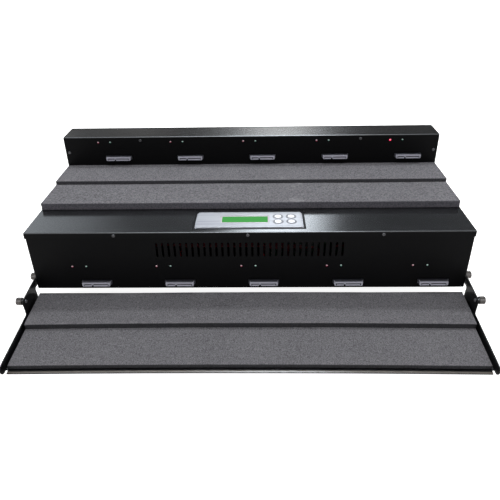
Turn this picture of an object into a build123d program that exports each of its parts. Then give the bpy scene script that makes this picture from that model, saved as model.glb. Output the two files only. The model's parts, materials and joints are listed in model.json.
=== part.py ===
"""A two-bank hard drive duplicator: a folded steel chassis with a raised rear tower, drive beds of
foam on the cover and on a swing-up front tray, and the electronics that the case holds.

The model is drawn with the middle of the cover's top front edge as zero: X to the right, Y to the
back and Z up. Each node is moved, when it is written, so that zero lies on the bench under the
middle of the whole object. All lengths are in millimetres and all angles in degrees.
"""
from build123d import *
import math
import os

# Sheet metal and general clearances
SHEET = 1.2
BEND = 0.8
FLANGE = 7.0
LIP_GAP = 0.3
HOLE_CLEARANCE = 0.1
CUT = 2.0

# Chassis and tower, outside
COVER_WIDTH = 603.0
BED_DEPTH = 206.4
TOWER_DEPTH = 48.0
TOWER_RISE = 62.9
CHASSIS_HEIGHT = 90.6
LIP_DROP = 8.4

# Drive ports: one small board each, with a socket and two lamps
PORT_COUNT = 5
PORT_PITCH = 117.6
FRONT_PORT_X = 21.1
REAR_PORT_X = 20.1
FRONT_SOCKET_DEPTH = 79.25
REAR_SOCKET_RISE = 28.55
SOCKET_WIDTH = 42.6
SOCKET_NOSE_WIDTH = 39.2
SOCKET_HEIGHT = 6.5
SOCKET_SHOULDER = 2.0
SOCKET_PROUD = 7.0
SOCKET_CORNER = 1.6
SOCKET_SLOT_DEPTH = 5.0
SOCKET_SLOT_HEIGHT = 1.5
SIGNAL_SLOT_WIDTH = 11.0
POWER_SLOT_WIDTH = 21.5
SLOT_WALL = 2.4
KEY_NOTCH = 2.6
LAMP_RADIUS = 1.5
LAMP_PROUD = 1.0
LAMP_RISE = 25.65
RED_LAMP_OFFSET = -30.9
LAMP_SPACING = 19.5
PORT_BOARD_WIDTH = 68.0
PORT_BOARD_HEIGHT = 37.0
PORT_BOARD_DROP = 6.0
PORT_BOARD_SHIFT = -5.0
PORT_STANDOFF = 5.0
BOARD_THICKNESS = 1.6

# Front vents
VENT_COUNT = 32
VENT_PITCH = 8.13
VENT_WIDTH = 3.0
VENT_HEIGHT = 22.0
VENT_TOP = 16.5
VENT_CENTRE_X = 1.7

# Screws of the case and of the boards
SCREW_RADIUS = 1.5
SCREW_LENGTH = 5.0
SCREW_HEAD_RADIUS = 2.3
SCREW_HEAD = 1.0
LIP_SCREW_DROP = 4.2
LIP_SCREW_PITCH = 180.0
TOWER_SCREW_X = 177.0
TOWER_SCREW_Z = 57.0
TOWER_END_SCREW_INSET = 6.0
TOWER_END_SCREW_Z = 37.5
TOWER_END_FLANGE = 15.0
BRACE_WIDTH = 14.0
BRACE_HEIGHT = 11.0
CABLE_SLOT_WIDTH = 46.0
CABLE_SLOT_DEPTH = 16.0

# Foam beds on the cover
REAR_FOAM_INSET = 0.7
REAR_FOAM_FRONT = 70.6
REAR_FOAM_STEP = 139.0
REAR_FOAM_LOWER = 10.4
REAR_FOAM_UPPER = 5.4

# Control panel
PANEL_WIDTH = 144.5
PANEL_DEPTH = 45.6
PANEL_CENTRE_X = 1.4
PANEL_FRONT = 13.0
PANEL_CORNER = 2.0
PANEL_PROUD = 0.8
PANEL_GAP = 1.9
PANEL_RIM = 3.0
PANEL_PLATE = 1.5
WINDOW_WIDTH = 63.2
WINDOW_DEPTH = 17.4
WINDOW_BORDER = 1.6
WINDOW_CENTRE_X = -4.6
WINDOW_CENTRE_Y = 36.7
WINDOW_THICKNESS = 1.5
WINDOW_SINK = 0.3
LCD_WIDTH = 80.0
LCD_DEPTH = 36.0
LCD_HEIGHT = 7.5
BUTTON_RADIUS = 4.9
BUTTON_GAP = 0.6
BUTTON_PROUD = 0.5
BUTTON_TRAVEL = 0.5
BUTTON_CENTRE_X = 50.3
BUTTON_CENTRE_Y = 36.6
BUTTON_SPACING_X = 18.2
BUTTON_SPACING_Y = 15.2
KEYPAD_WIDTH = 46.0
KEYPAD_DEPTH = 36.0
KEYPAD_DROP = 8.0
SWITCH_SIZE = 6.0
POST_RADIUS = 2.8

# Front tray, measured from its hinge: reach is forwards along the tray and drop is square to it
PIVOT_Y = 17.55
PIVOT_DEPTH = 79.8
TRAY_TILT = 6.0
TRAY_SWING = 90.0
TRAY_SHEET = 1.5
ARM_GAP = 1.9
ARM_END_RADIUS = 5.9
ARM_HEEL = 19.7
LUG_REACH = 61.7
LUG_CORNER = 2.8
FLANGE_TOP_DROP = 17.2
TIP_REACH = 151.4
TIP_RADIUS = 7.0
ARM_CORNER = 2.5
TRAY_BEND = 0.5
TRAY_CROWN = 2.9
NOTCH_REACH = 146.6
FLOOR_DROP = 31.7
FLOOR_FRONT = 153.0
TRAY_FOAM_SIDE_GAP = 2.2
TRAY_FOAM_BACK = 19.0
TRAY_FOAM_STEP = 81.4
TRAY_FOAM_FRONT = 145.8
TRAY_FOAM_LOWER = 6.1
TRAY_FOAM_UPPER = 8.0
BACK_LIP_GAP = 0.5
STUD_RADIUS = 3.25
STUD_PROUD = 2.5

# Thumbscrews: the pivots and the tray locks are the same part
THUMB_RADIUS = 5.3
THUMB_LENGTH = 8.1
THUMB_END_WALL = 1.2
KNURL_COUNT = 28
KNURL_DEPTH = 0.35
SHANK_RADIUS = 2.5
FIT = 0.05
PIVOT_THREAD = 5.0
PIVOT_NUT_RADIUS = 4.8
PIVOT_NUT_BARREL = 3.6
PIVOT_NUT_LENGTH = 3.5
WASHER_RADIUS = 5.0
WASHER_PLAY = 0.1
WASHER_COUNT = 2
LOCK_REACH = 53.9
LOCK_BACKED_OUT = 2.7
LOCK_TIP = 1.2
LOCK_HOLE_RADIUS = 2.9

# Feet
FOOT_RADIUS = 15.0
FOOT_PAD = 6.0
FOOT_X = 255.0
FOOT_FRONT_Y = 80.0
FOOT_BACK_Y = 215.0
FOOT_SCREW_RADIUS = 2.0
FOOT_SCREW_LENGTH = 14.0
BENCH_GAP = 0.2

# Controller board
CONTROLLER_X = 100.0
CONTROLLER_Y = 110.0
CONTROLLER_WIDTH = 160.0
CONTROLLER_DEPTH = 100.0
STANDOFF_HEIGHT = 8.0
STANDOFF_RADIUS = 2.7
STANDOFF_INSET = 5.0
CHIP_SIZE = 27.0
CHIP_HEIGHT = 2.4
HEATSINK_BASE = 3.0
HEATSINK_HEIGHT = 14.0
HEATSINK_FINS = 9
FIN_WIDTH = 1.2
CONNECTOR_WIDTH = 15.0
CONNECTOR_DEPTH = 9.0
CONNECTOR_HEIGHT = 7.0
CONNECTOR_PITCH = 22.0

# Power supply
SUPPLY_GAP = 12.0
SUPPLY_FRONT = 36.0
SUPPLY_WIDTH = 97.0
SUPPLY_LENGTH = 159.0
SUPPLY_HEIGHT = 38.0
SUPPLY_VENT_ROWS = 3
SUPPLY_VENTS = 9
TERMINAL_DEPTH = 14.0
TERMINAL_HEIGHT = 16.0
TERMINAL_WIDTH = 75.0

# Mains inlet with its switch and fuse drawer
INLET_X = -39.0
INLET_Z = -45.0
INLET_WIDTH = 31.0
INLET_HEIGHT = 50.0
INLET_RIM = 1.8
INLET_FLANGE = 2.0
INLET_BODY_DEPTH = 26.0
SOCKET_CAVITY_WIDTH = 24.4
SOCKET_CAVITY_HEIGHT = 16.8
SOCKET_CAVITY_DEPTH = 17.0
SOCKET_CAVITY_DROP = 13.0
PIN_WIDTH = 2.0
PIN_HEIGHT = 4.0
PIN_SPACING = 14.0
PIN_SHORT = 3.0
DRAWER_WIDTH = 22.0
DRAWER_HEIGHT = 6.4
DRAWER_DEPTH = 22.0
DRAWER_RISE = 0.6
DRAWER_GAP = 0.3
ROCKER_RADIUS = 10.6
ROCKER_HEIGHT = 12.4
ROCKER_RISE = 14.6
ROCKER_PIVOT_DEPTH = 4.0
ROCKER_PROUD = 4.2
ROCKER_ANGLE = 7.0

# Fans
FAN_X = (78.6, 196.2)
FAN_Z = -45.0
FAN_SIZE = 60.0
FAN_DEPTH = 25.0
FAN_HOLE_SPACING = 50.0
FAN_CORNER = 4.0
FAN_DUCT_RADIUS = 28.3
FAN_BLADE_GAP = 0.9
FAN_BLADES = 7
BLADE_TWIST = 38.0
BLADE_THICKNESS = 1.4
HUB_RADIUS = 14.0
HUB_LENGTH = 17.0
MOTOR_RADIUS = 13.0
MOTOR_LENGTH = 6.0
STRUT_WIDTH = 4.0
SHAFT_RADIUS = 1.5
GUARD_WIRE = 0.8
GUARD_RINGS = 4
FAN_SCREW_RADIUS = 2.0
FAN_SCREW_HEAD_RADIUS = 3.6
FAN_SCREW_HEAD = 1.6
FAN_SCREW_LENGTH = 10.0

# Cables
CABLE_RADIUS = 2.0
CABLE_LANE = 4.6
CABLE_BEND = 6.0
CABLE_RISE = 14.0

# Places that follow from the sizes above
OUTER_BEND = BEND + SHEET
COVER_HALF = COVER_WIDTH / 2
PAN_HALF = COVER_HALF
REAR_FOAM_HALF = COVER_HALF - REAR_FOAM_INSET
PAN_FRONT = SHEET + LIP_GAP
PAN_TOP = -SHEET
BASE_Z = -CHASSIS_HEIGHT
FLOOR_Z = BASE_Z + SHEET
BACK_Y = BED_DEPTH + TOWER_DEPTH
SHELL_BACK = BACK_Y - SHEET
TOWER_INSIDE = BED_DEPTH + SHEET
FRONT_SOCKET_Z = -FRONT_SOCKET_DEPTH
PIVOT_Z = -PIVOT_DEPTH
ARM_INSIDE = PAN_HALF + ARM_GAP
ARM_OUTSIDE = ARM_INSIDE + TRAY_SHEET
TRAY_FOAM_HALF = ARM_INSIDE - TRAY_FOAM_SIDE_GAP
FLOOR_BOTTOM = FLOOR_DROP + TRAY_SHEET
TRAY_PLACE = Pos(0, PIVOT_Y, PIVOT_Z) * Rot(TRAY_TILT, 0, 0)
TILT = math.radians(TRAY_TILT)
TRAY_LOWEST = PIVOT_Z - FLOOR_FRONT * math.sin(TILT) - FLOOR_BOTTOM * math.cos(TILT)
BENCH_Z = TRAY_LOWEST - BENCH_GAP
TIP_CENTRE_DROP = FLANGE_TOP_DROP + TIP_RADIUS
TRAY_FRONT_Y = PIVOT_Y - TIP_REACH * math.cos(TILT) + TIP_CENTRE_DROP * math.sin(TILT) - TIP_RADIUS
REAR_Y = BACK_Y + ROCKER_PROUD
ORIGIN = Pos(0, -(TRAY_FRONT_Y + REAR_Y) / 2, -BENCH_Z)
PANEL_CENTRE_Y = PANEL_FRONT + PANEL_DEPTH / 2
PANEL_UNDERSIDE = -SHEET - PANEL_PLATE
KEYPAD_TOP = -KEYPAD_DROP
CONTROLLER_Z = FLOOR_Z + STANDOFF_HEIGHT
FOOT_SCREW_HEAD_RADIUS = FOOT_SCREW_RADIUS * 1.9
SUPPLY_X = -FOOT_X + FOOT_SCREW_HEAD_RADIUS + SUPPLY_GAP + SUPPLY_WIDTH / 2


def port_places(centre_x):
    """The middle of each socket across the case."""
    first = centre_x - PORT_PITCH * (PORT_COUNT - 1) / 2
    return [first + PORT_PITCH * index for index in range(PORT_COUNT)]


def banks():
    """Both rows of ports: places across, height of the sockets and the face that they come through."""
    front = [(x, FRONT_SOCKET_Z, PAN_FRONT) for x in port_places(FRONT_PORT_X)]
    rear = [(x, REAR_SOCKET_RISE, BED_DEPTH) for x in port_places(REAR_PORT_X)]
    return front + rear


def block(x0, x1, y0, y1, z0, z1):
    """A box between two corners."""
    middle = Pos((x0 + x1) / 2, (y0 + y1) / 2, (z0 + z1) / 2)
    return middle * Box(x1 - x0, y1 - y0, z1 - z0)


def bar_x(x0, x1, y, z, radius):
    """A round bar along X."""
    return Pos((x0 + x1) / 2, y, z) * Rot(0, 90, 0) * Cylinder(radius, x1 - x0)


def bar_y(x, y0, y1, z, radius):
    """A round bar along Y."""
    return Pos(x, (y0 + y1) / 2, z) * Rot(90, 0, 0) * Cylinder(radius, y1 - y0)


def bar_z(x, y, z0, z1, radius):
    """A round bar along Z."""
    return Pos(x, y, (z0 + z1) / 2) * Cylinder(radius, z1 - z0)


def cut_along_y(outline, y0, y1):
    """An outline drawn in X and Z, run from y0 to y1."""
    plane = Plane(origin=(0, y1, 0), x_dir=(1, 0, 0), z_dir=(0, -1, 0))
    return extrude(plane * outline, y1 - y0)


def cut_along_x(outline, x0, x1):
    """An outline drawn in Y and Z, run from x0 to x1."""
    plane = Plane(origin=(x0, 0, 0), x_dir=(0, 1, 0), z_dir=(1, 0, 0))
    return extrude(plane * outline, x1 - x0)


def rounded(solid, radius, *sides):
    """The solid with a fillet on each edge where two of the named outer faces meet."""
    faces = {
        "front": solid.faces().sort_by(Axis.Y)[0],
        "back": solid.faces().sort_by(Axis.Y)[-1],
        "left": solid.faces().sort_by(Axis.X)[0],
        "right": solid.faces().sort_by(Axis.X)[-1],
        "top": solid.faces().sort_by(Axis.Z)[-1],
        "bottom": solid.faces().sort_by(Axis.Z)[0],
    }
    edges = []
    for one, other in sides:
        ends = faces[other].edges()
        edges += [edge for edge in faces[one].edges() if edge in ends]
    return fillet(edges, radius)


def port_openings(row_x, socket_z):
    """The socket windows and lamp holes of one row, drawn in X and Z."""
    window = Rectangle(SOCKET_WIDTH + 2 * LIP_GAP, SOCKET_HEIGHT + 2 * LIP_GAP)
    shapes = []
    for x in row_x:
        shapes.append(Pos(x, socket_z) * window)
        for lamp_x in (RED_LAMP_OFFSET, RED_LAMP_OFFSET + LAMP_SPACING):
            lamp = Circle(LAMP_RADIUS + HOLE_CLEARANCE)
            shapes.append(Pos(x + lamp_x, socket_z + LAMP_RISE) * lamp)
    return Sketch() + shapes


def vent_openings():
    """The row of upright slots with rounded ends."""
    slot = Rot(0, 0, 90) * SlotOverall(VENT_HEIGHT, VENT_WIDTH)
    first = VENT_CENTRE_X - VENT_PITCH * (VENT_COUNT - 1) / 2
    middle = -VENT_TOP - VENT_HEIGHT / 2
    return Sketch() + [Pos(first + VENT_PITCH * i, middle) * slot for i in range(VENT_COUNT)]


def lip_screw_places():
    """Places across the front lip."""
    return [-LIP_SCREW_PITCH, 0, LIP_SCREW_PITCH]


def lock_place():
    """Where the lock screws point at the chassis sides when the tray is up: y and z."""
    closed = math.radians(TRAY_TILT - TRAY_SWING)
    return PIVOT_Y - LOCK_REACH * math.cos(closed), PIVOT_Z - LOCK_REACH * math.sin(closed)


def foot_places():
    """The middles of the four feet: x and y."""
    return [(x, y) for x in (-FOOT_X, FOOT_X) for y in (FOOT_FRONT_Y, FOOT_BACK_Y)]


def rear_screw_places():
    """Screws of the rear panel and the tower's back, near their ends and along the long edges: x and z."""
    inset = SHEET + FLANGE / 2
    ends = [(side * (PAN_HALF - inset), part * BASE_Z) for side in (-1, 1) for part in (0.25, 0.75)]
    floor = [(side * PAN_HALF / 2, BASE_Z + inset) for side in (-1, 1)]
    tower = [(side * (COVER_HALF - inset), TOWER_RISE / 2) for side in (-1, 1)]
    ridge = [(side * COVER_HALF / 2, TOWER_RISE - inset) for side in (-1, 1)]
    return ends + floor, tower + ridge


def tower_foot_places():
    """Screws that hold the tower's front flange to the cover, between the ports."""
    return [x + PORT_PITCH / 2 for x in port_places(REAR_PORT_X)[:-1]]


def base_pan():
    """Floor, front and sides folded from one sheet, with inward flanges at the top and the back."""
    pan = block(-PAN_HALF, PAN_HALF, PAN_FRONT, SHELL_BACK, BASE_Z, PAN_TOP)
    corners = (("front", "bottom"), ("left", "bottom"), ("right", "bottom"),
               ("front", "left"), ("front", "right"), ("front", "top"), ("left", "top"), ("right", "top"))
    pan = rounded(pan, OUTER_BEND, *corners)
    hollow = block(-PAN_HALF + SHEET, PAN_HALF - SHEET, PAN_FRONT + SHEET, SHELL_BACK - SHEET,
                   FLOOR_Z, PAN_TOP - SHEET)
    pan -= rounded(hollow, BEND, *corners)
    reach = SHEET + FLANGE
    pan -= block(-PAN_HALF + reach, PAN_HALF - reach, PAN_FRONT + reach, SHELL_BACK - reach,
                 PAN_TOP - SHEET - CUT, PAN_TOP + CUT)
    pan -= block(-PAN_HALF + reach, PAN_HALF - reach, SHELL_BACK - SHEET - CUT, SHELL_BACK + CUT,
                 BASE_Z + reach, PAN_TOP - reach)
    face = vent_openings() + port_openings(port_places(FRONT_PORT_X), FRONT_SOCKET_Z)
    face += [Pos(x, -LIP_SCREW_DROP) * Circle(SCREW_RADIUS + HOLE_CLEARANCE) for x in lip_screw_places()]
    pan -= cut_along_y(face, PAN_FRONT - CUT, PAN_FRONT + SHEET + CUT)
    lock_y, lock_z = lock_place()
    side = [Pos(PIVOT_Y, PIVOT_Z) * Circle(PIVOT_NUT_BARREL), Pos(lock_y, lock_z) * Circle(LOCK_HOLE_RADIUS)]
    side = Sketch() + side
    pan -= cut_along_x(side, -PAN_HALF - CUT, -PAN_HALF + SHEET + CUT)
    pan -= cut_along_x(side, PAN_HALF - SHEET - CUT, PAN_HALF + CUT)
    holes = [bar_z(x, y, BASE_Z - CUT, FLOOR_Z + CUT, FOOT_SCREW_RADIUS + HOLE_CLEARANCE)
             for x, y in foot_places()]
    holes += [bar_y(x, SHELL_BACK - SHEET - CUT, SHELL_BACK + CUT, z, SCREW_RADIUS + HOLE_CLEARANCE)
              for x, z in rear_screw_places()[0]]
    return pan - holes


def panel_outline(margin, corner):
    """The control panel's outline, grown by a margin."""
    shape = RectangleRounded(PANEL_WIDTH + 2 * margin, PANEL_DEPTH + 2 * margin, corner)
    return Pos(PANEL_CENTRE_X, PANEL_CENTRE_Y) * shape


def cable_slot_y():
    """The middle of the cable slots under the tower, behind its front flange."""
    return TOWER_INSIDE + FLANGE + CUT + CABLE_SLOT_DEPTH / 2


def top_cover():
    """The flat cover with its short lip down the front."""
    cover = block(-COVER_HALF, COVER_HALF, 0, SHELL_BACK, -LIP_DROP, 0)
    cover = rounded(cover, OUTER_BEND, ("front", "top"))
    inside = block(-COVER_HALF - CUT, COVER_HALF + CUT, SHEET, SHELL_BACK + CUT, -LIP_DROP - CUT, -SHEET)
    cover -= rounded(inside, BEND, ("front", "top"))
    cutout = panel_outline(PANEL_GAP, PANEL_CORNER + PANEL_GAP)
    cover -= Pos(0, 0, -SHEET - CUT) * extrude(cutout, SHEET + 2 * CUT)
    slot = RectangleRounded(CABLE_SLOT_WIDTH, CABLE_SLOT_DEPTH, CUT)
    slots = Sketch() + [Pos(x, cable_slot_y()) * slot for x in port_places(REAR_PORT_X)]
    cover -= Pos(0, 0, -SHEET - CUT) * extrude(slots, SHEET + 2 * CUT)
    radius = SCREW_RADIUS + HOLE_CLEARANCE
    holes = [bar_y(x, -CUT, SHEET + CUT, -LIP_SCREW_DROP, radius) for x in lip_screw_places()]
    holes += [bar_z(x, TOWER_INSIDE + FLANGE / 2, -SHEET - CUT, CUT, radius) for x in tower_foot_places()]
    return cover - holes


def tower_shell():
    """The tower's face and top in one bent sheet, with a flange along the foot and one at the back."""
    shell = block(-COVER_HALF, COVER_HALF, BED_DEPTH, SHELL_BACK, 0, TOWER_RISE)
    folds = (("front", "top"), ("front", "bottom"), ("back", "top"))
    shell = rounded(shell, OUTER_BEND, *folds)
    hollow = block(-COVER_HALF - CUT, COVER_HALF + CUT, TOWER_INSIDE, SHELL_BACK - SHEET,
                   SHEET, TOWER_RISE - SHEET)
    shell -= rounded(hollow, BEND, *folds)
    shell -= block(-COVER_HALF - CUT, COVER_HALF + CUT, TOWER_INSIDE + FLANGE, SHELL_BACK + CUT,
                   -CUT, SHEET + CUT)
    shell -= block(-COVER_HALF - CUT, COVER_HALF + CUT, SHELL_BACK - SHEET - CUT, SHELL_BACK + CUT,
                   -CUT, TOWER_RISE - SHEET - FLANGE)
    face = port_openings(port_places(REAR_PORT_X), REAR_SOCKET_RISE)
    face += [Pos(x, z) * Circle(SCREW_RADIUS + HOLE_CLEARANCE) for x, z in tower_screw_places()]
    shell -= cut_along_y(face, BED_DEPTH - CUT, TOWER_INSIDE + CUT)
    radius = SCREW_RADIUS + HOLE_CLEARANCE
    holes = [bar_z(x, TOWER_INSIDE + FLANGE / 2, -CUT, SHEET + CUT, radius) for x in tower_foot_places()]
    holes += [bar_y(x, SHELL_BACK - SHEET - CUT, SHELL_BACK + CUT, z, radius)
              for x, z in rear_screw_places()[1][2:]]
    return shell - holes


def tower_screw_places():
    """The four screws on the tower's face: x and z."""
    end_x = COVER_HALF - TOWER_END_SCREW_INSET
    middle = [(side * TOWER_SCREW_X, TOWER_SCREW_Z) for side in (-1, 1)]
    return middle + [(side * end_x, TOWER_END_SCREW_Z) for side in (-1, 1)]


def tower_end():
    """The right end cap: a plate with flanges behind the face and in front of the back panel."""
    top = TOWER_RISE - SHEET
    foot = SHEET
    outer = block(COVER_HALF - TOWER_END_FLANGE, COVER_HALF, TOWER_INSIDE, SHELL_BACK, foot, top)
    outer = chamfer(outer.edges().filter_by(Axis.X).group_by(Axis.Y)[0], OUTER_BEND)
    outer -= block(COVER_HALF - TOWER_END_FLANGE - CUT, COVER_HALF - SHEET, TOWER_INSIDE + SHEET,
                   SHELL_BACK - SHEET, foot - CUT, top + CUT)
    outer -= block(COVER_HALF - TOWER_END_FLANGE - CUT, COVER_HALF + CUT, SHELL_BACK - SHEET - LIP_GAP,
                   SHELL_BACK + CUT, top - FLANGE - LIP_GAP, top + CUT)
    radius = SCREW_RADIUS + HOLE_CLEARANCE
    face_x, face_z = tower_screw_places()[3]
    back_x, back_z = rear_screw_places()[1][1]
    outer -= bar_y(face_x, TOWER_INSIDE - CUT, TOWER_INSIDE + SHEET + CUT, face_z, radius)
    return outer - bar_y(back_x, SHELL_BACK - SHEET - CUT, SHELL_BACK + CUT, back_z, radius)


def tower_brace(x):
    """A strap across the tower, from a tab behind the face to a tab on the back panel."""
    bottom = TOWER_SCREW_Z - BRACE_HEIGHT / 2
    top = TOWER_SCREW_Z + BRACE_HEIGHT / 2 - SHEET - BEND
    strap = block(x - BRACE_WIDTH / 2, x + BRACE_WIDTH / 2, TOWER_INSIDE, SHELL_BACK, bottom, top)
    strap -= block(x - BRACE_WIDTH, x + BRACE_WIDTH, TOWER_INSIDE + SHEET, SHELL_BACK - SHEET,
                   bottom + SHEET, top + CUT)
    strap -= block(x - BRACE_WIDTH, x + BRACE_WIDTH, SHELL_BACK - SHEET - CUT, SHELL_BACK + CUT,
                   TOWER_RISE - SHEET - FLANGE - LIP_GAP, top + CUT)
    radius = SCREW_RADIUS + HOLE_CLEARANCE
    return strap - bar_y(x, TOWER_INSIDE - CUT, TOWER_INSIDE + SHEET + CUT, TOWER_SCREW_Z, radius)


def tower_back():
    """The flat plate that closes the tower behind."""
    plate = block(-COVER_HALF, COVER_HALF, SHELL_BACK, BACK_Y, 0, TOWER_RISE)
    radius = SCREW_RADIUS + HOLE_CLEARANCE
    return plate - [bar_y(x, SHELL_BACK - CUT, BACK_Y + CUT, z, radius) for x, z in rear_screw_places()[1]]


def rear_panel():
    """The flat plate that closes the chassis behind, with the fan holes and the mains inlet's window."""
    plate = block(-COVER_HALF, COVER_HALF, SHELL_BACK, BACK_Y, BASE_Z, 0)
    plate = rounded(plate, OUTER_BEND, ("left", "bottom"), ("right", "bottom"))
    window = Rectangle(INLET_WIDTH - 2 * INLET_RIM, INLET_HEIGHT - 2 * INLET_RIM)
    shapes = [Pos(INLET_X, INLET_Z) * window]
    for x in FAN_X:
        shapes.append(Pos(x, FAN_Z) * Circle(FAN_DUCT_RADIUS))
        for hole in GridLocations(FAN_HOLE_SPACING, FAN_HOLE_SPACING, 2, 2):
            shapes.append(Pos(x, FAN_Z) * hole * Circle(FAN_SCREW_RADIUS + HOLE_CLEARANCE))
    shapes += [Pos(x, z) * Circle(SCREW_RADIUS + HOLE_CLEARANCE) for x, z in rear_screw_places()[0]]
    return plate - cut_along_y(Sketch() + shapes, SHELL_BACK - CUT, BACK_Y + CUT)


def pan_head_screw(length):
    """A cross-recessed pan-head screw along Z, with its head's seat at zero and its shank below."""
    head = Pos(0, 0, SCREW_HEAD / 2) * Cylinder(SCREW_HEAD_RADIUS, SCREW_HEAD)
    head = fillet(head.edges().sort_by(Axis.Z)[-1], SCREW_HEAD * 0.6)
    arm = Pos(0, 0, SCREW_HEAD) * Box(SCREW_HEAD_RADIUS * 1.1, SCREW_RADIUS * 0.4, SCREW_HEAD)
    return head + bar_z(0, 0, -length, 0, SCREW_RADIUS) - arm - Rot(0, 0, 90) * arm


def case_screws():
    """The identical screws of the cover, the tower and the rear plates."""
    screw = pan_head_screw(SCREW_LENGTH)
    forward = Rot(90, 0, 0)
    screws = [Pos(x, 0, -LIP_SCREW_DROP) * forward * screw for x in lip_screw_places()]
    screws += [Pos(x, BED_DEPTH, z) * forward * screw for x, z in tower_screw_places()]
    chassis, tower = rear_screw_places()
    screws += [Pos(x, BACK_Y, z) * Rot(-90, 0, 0) * screw for x, z in chassis + tower]
    screws += [Pos(x, TOWER_INSIDE + FLANGE / 2, SHEET) * screw for x in tower_foot_places()]
    return screws


def foot_leg(x, y):
    """A turned spacer leg, waisted in the middle, with a blind hole for its screw."""
    bottom = BENCH_Z + FOOT_PAD
    waist = FOOT_RADIUS * 0.8
    height = BASE_Z - bottom
    leg = bar_z(x, y, bottom, bottom + height / 5, FOOT_RADIUS) + bar_z(x, y, bottom, BASE_Z, waist)
    leg += bar_z(x, y, BASE_Z - height / 5, BASE_Z, FOOT_RADIUS)
    bore = FOOT_SCREW_RADIUS + HOLE_CLEARANCE
    return leg - bar_z(x, y, BASE_Z - FOOT_SCREW_LENGTH - CUT, BASE_Z + CUT, bore)


def foot_pad(x, y):
    """A rubber pad under a leg."""
    pad = bar_z(x, y, BENCH_Z, BENCH_Z + FOOT_PAD, FOOT_RADIUS)
    return chamfer(pad.edges().sort_by(Axis.Z)[0], FOOT_PAD / 6)


def foot_screw(x, y):
    """The screw that holds a leg from inside the pan."""
    head = bar_z(x, y, FLOOR_Z, FLOOR_Z + SHEET * 1.5, FOOT_SCREW_HEAD_RADIUS)
    return head + bar_z(x, y, BASE_Z - FOOT_SCREW_LENGTH, FLOOR_Z, FOOT_SCREW_RADIUS)


def rear_foam_lower():
    """The lower foam sheet of the rear bed."""
    return block(-REAR_FOAM_HALF, REAR_FOAM_HALF, REAR_FOAM_FRONT, BED_DEPTH, 0, REAR_FOAM_LOWER)


def rear_foam_upper():
    """The upper foam sheet of the rear bed, against the tower."""
    top = REAR_FOAM_LOWER + REAR_FOAM_UPPER
    return block(-REAR_FOAM_HALF, REAR_FOAM_HALF, REAR_FOAM_STEP, BED_DEPTH, REAR_FOAM_LOWER, top)


def button_places():
    """The middles of the four buttons: x and y, left to right and front to back."""
    half_x = BUTTON_SPACING_X / 2
    half_y = BUTTON_SPACING_Y / 2
    return [(BUTTON_CENTRE_X + i * half_x, BUTTON_CENTRE_Y + j * half_y) for j in (-1, 1) for i in (-1, 1)]


def lcd_post_places():
    """The posts that carry the display: x and y."""
    half_x = LCD_WIDTH / 2 - POST_RADIUS
    half_y = LCD_DEPTH / 2 - POST_RADIUS
    return [(WINDOW_CENTRE_X + i * half_x, WINDOW_CENTRE_Y + j * half_y) for i in (-1, 1) for j in (-1, 1)]


def keypad_post_places():
    """The two posts between the buttons that carry the keypad board: x and y."""
    half_y = KEYPAD_DEPTH / 2 - POST_RADIUS
    return [(BUTTON_CENTRE_X, BUTTON_CENTRE_Y + j * half_y) for j in (-1, 1)]


def window_outline(margin):
    """The display window, grown by a margin."""
    size_x = WINDOW_WIDTH + 2 * margin
    size_y = WINDOW_DEPTH + 2 * margin
    return Pos(WINDOW_CENTRE_X, WINDOW_CENTRE_Y) * RectangleRounded(size_x, size_y, PANEL_CORNER / 2)


def control_bezel():
    """The bright panel plate in the cover's cut-out, with a rim under the cover and posts below."""
    height = PANEL_PROUD - PANEL_UNDERSIDE
    plate = Pos(0, 0, PANEL_UNDERSIDE) * extrude(panel_outline(0, PANEL_CORNER), height)
    plate = fillet(plate.edges().group_by(Axis.Z)[-1], PANEL_PROUD / 2)
    rim = Pos(0, 0, PANEL_UNDERSIDE) * extrude(panel_outline(PANEL_RIM, PANEL_CORNER), PANEL_PLATE)
    bezel = plate + rim
    bezel -= Pos(0, 0, PANEL_UNDERSIDE - CUT) * extrude(window_outline(0), height + 2 * CUT)
    recess_floor = PANEL_PROUD - WINDOW_SINK - WINDOW_THICKNESS
    bezel -= Pos(0, 0, recess_floor) * extrude(window_outline(WINDOW_BORDER), WINDOW_THICKNESS + CUT)
    radius = BUTTON_RADIUS + BUTTON_GAP
    bezel -= [bar_z(x, y, PANEL_UNDERSIDE - CUT, PANEL_PROUD + CUT, radius) for x, y in button_places()]
    screw_hole = SCREW_RADIUS + HOLE_CLEARANCE
    for places in (lcd_post_places(), keypad_post_places()):
        bezel += [bar_z(x, y, KEYPAD_TOP, PANEL_UNDERSIDE, POST_RADIUS) for x, y in places]
        bezel -= [bar_z(x, y, KEYPAD_TOP - CUT, PANEL_UNDERSIDE - CUT / 2, screw_hole) for x, y in places]
    return bezel


def lcd_window():
    """The clear window that sits in the bezel's rebate."""
    bottom = PANEL_PROUD - WINDOW_SINK - WINDOW_THICKNESS
    return Pos(0, 0, bottom) * extrude(window_outline(WINDOW_BORDER - HOLE_CLEARANCE), WINDOW_THICKNESS)


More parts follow.
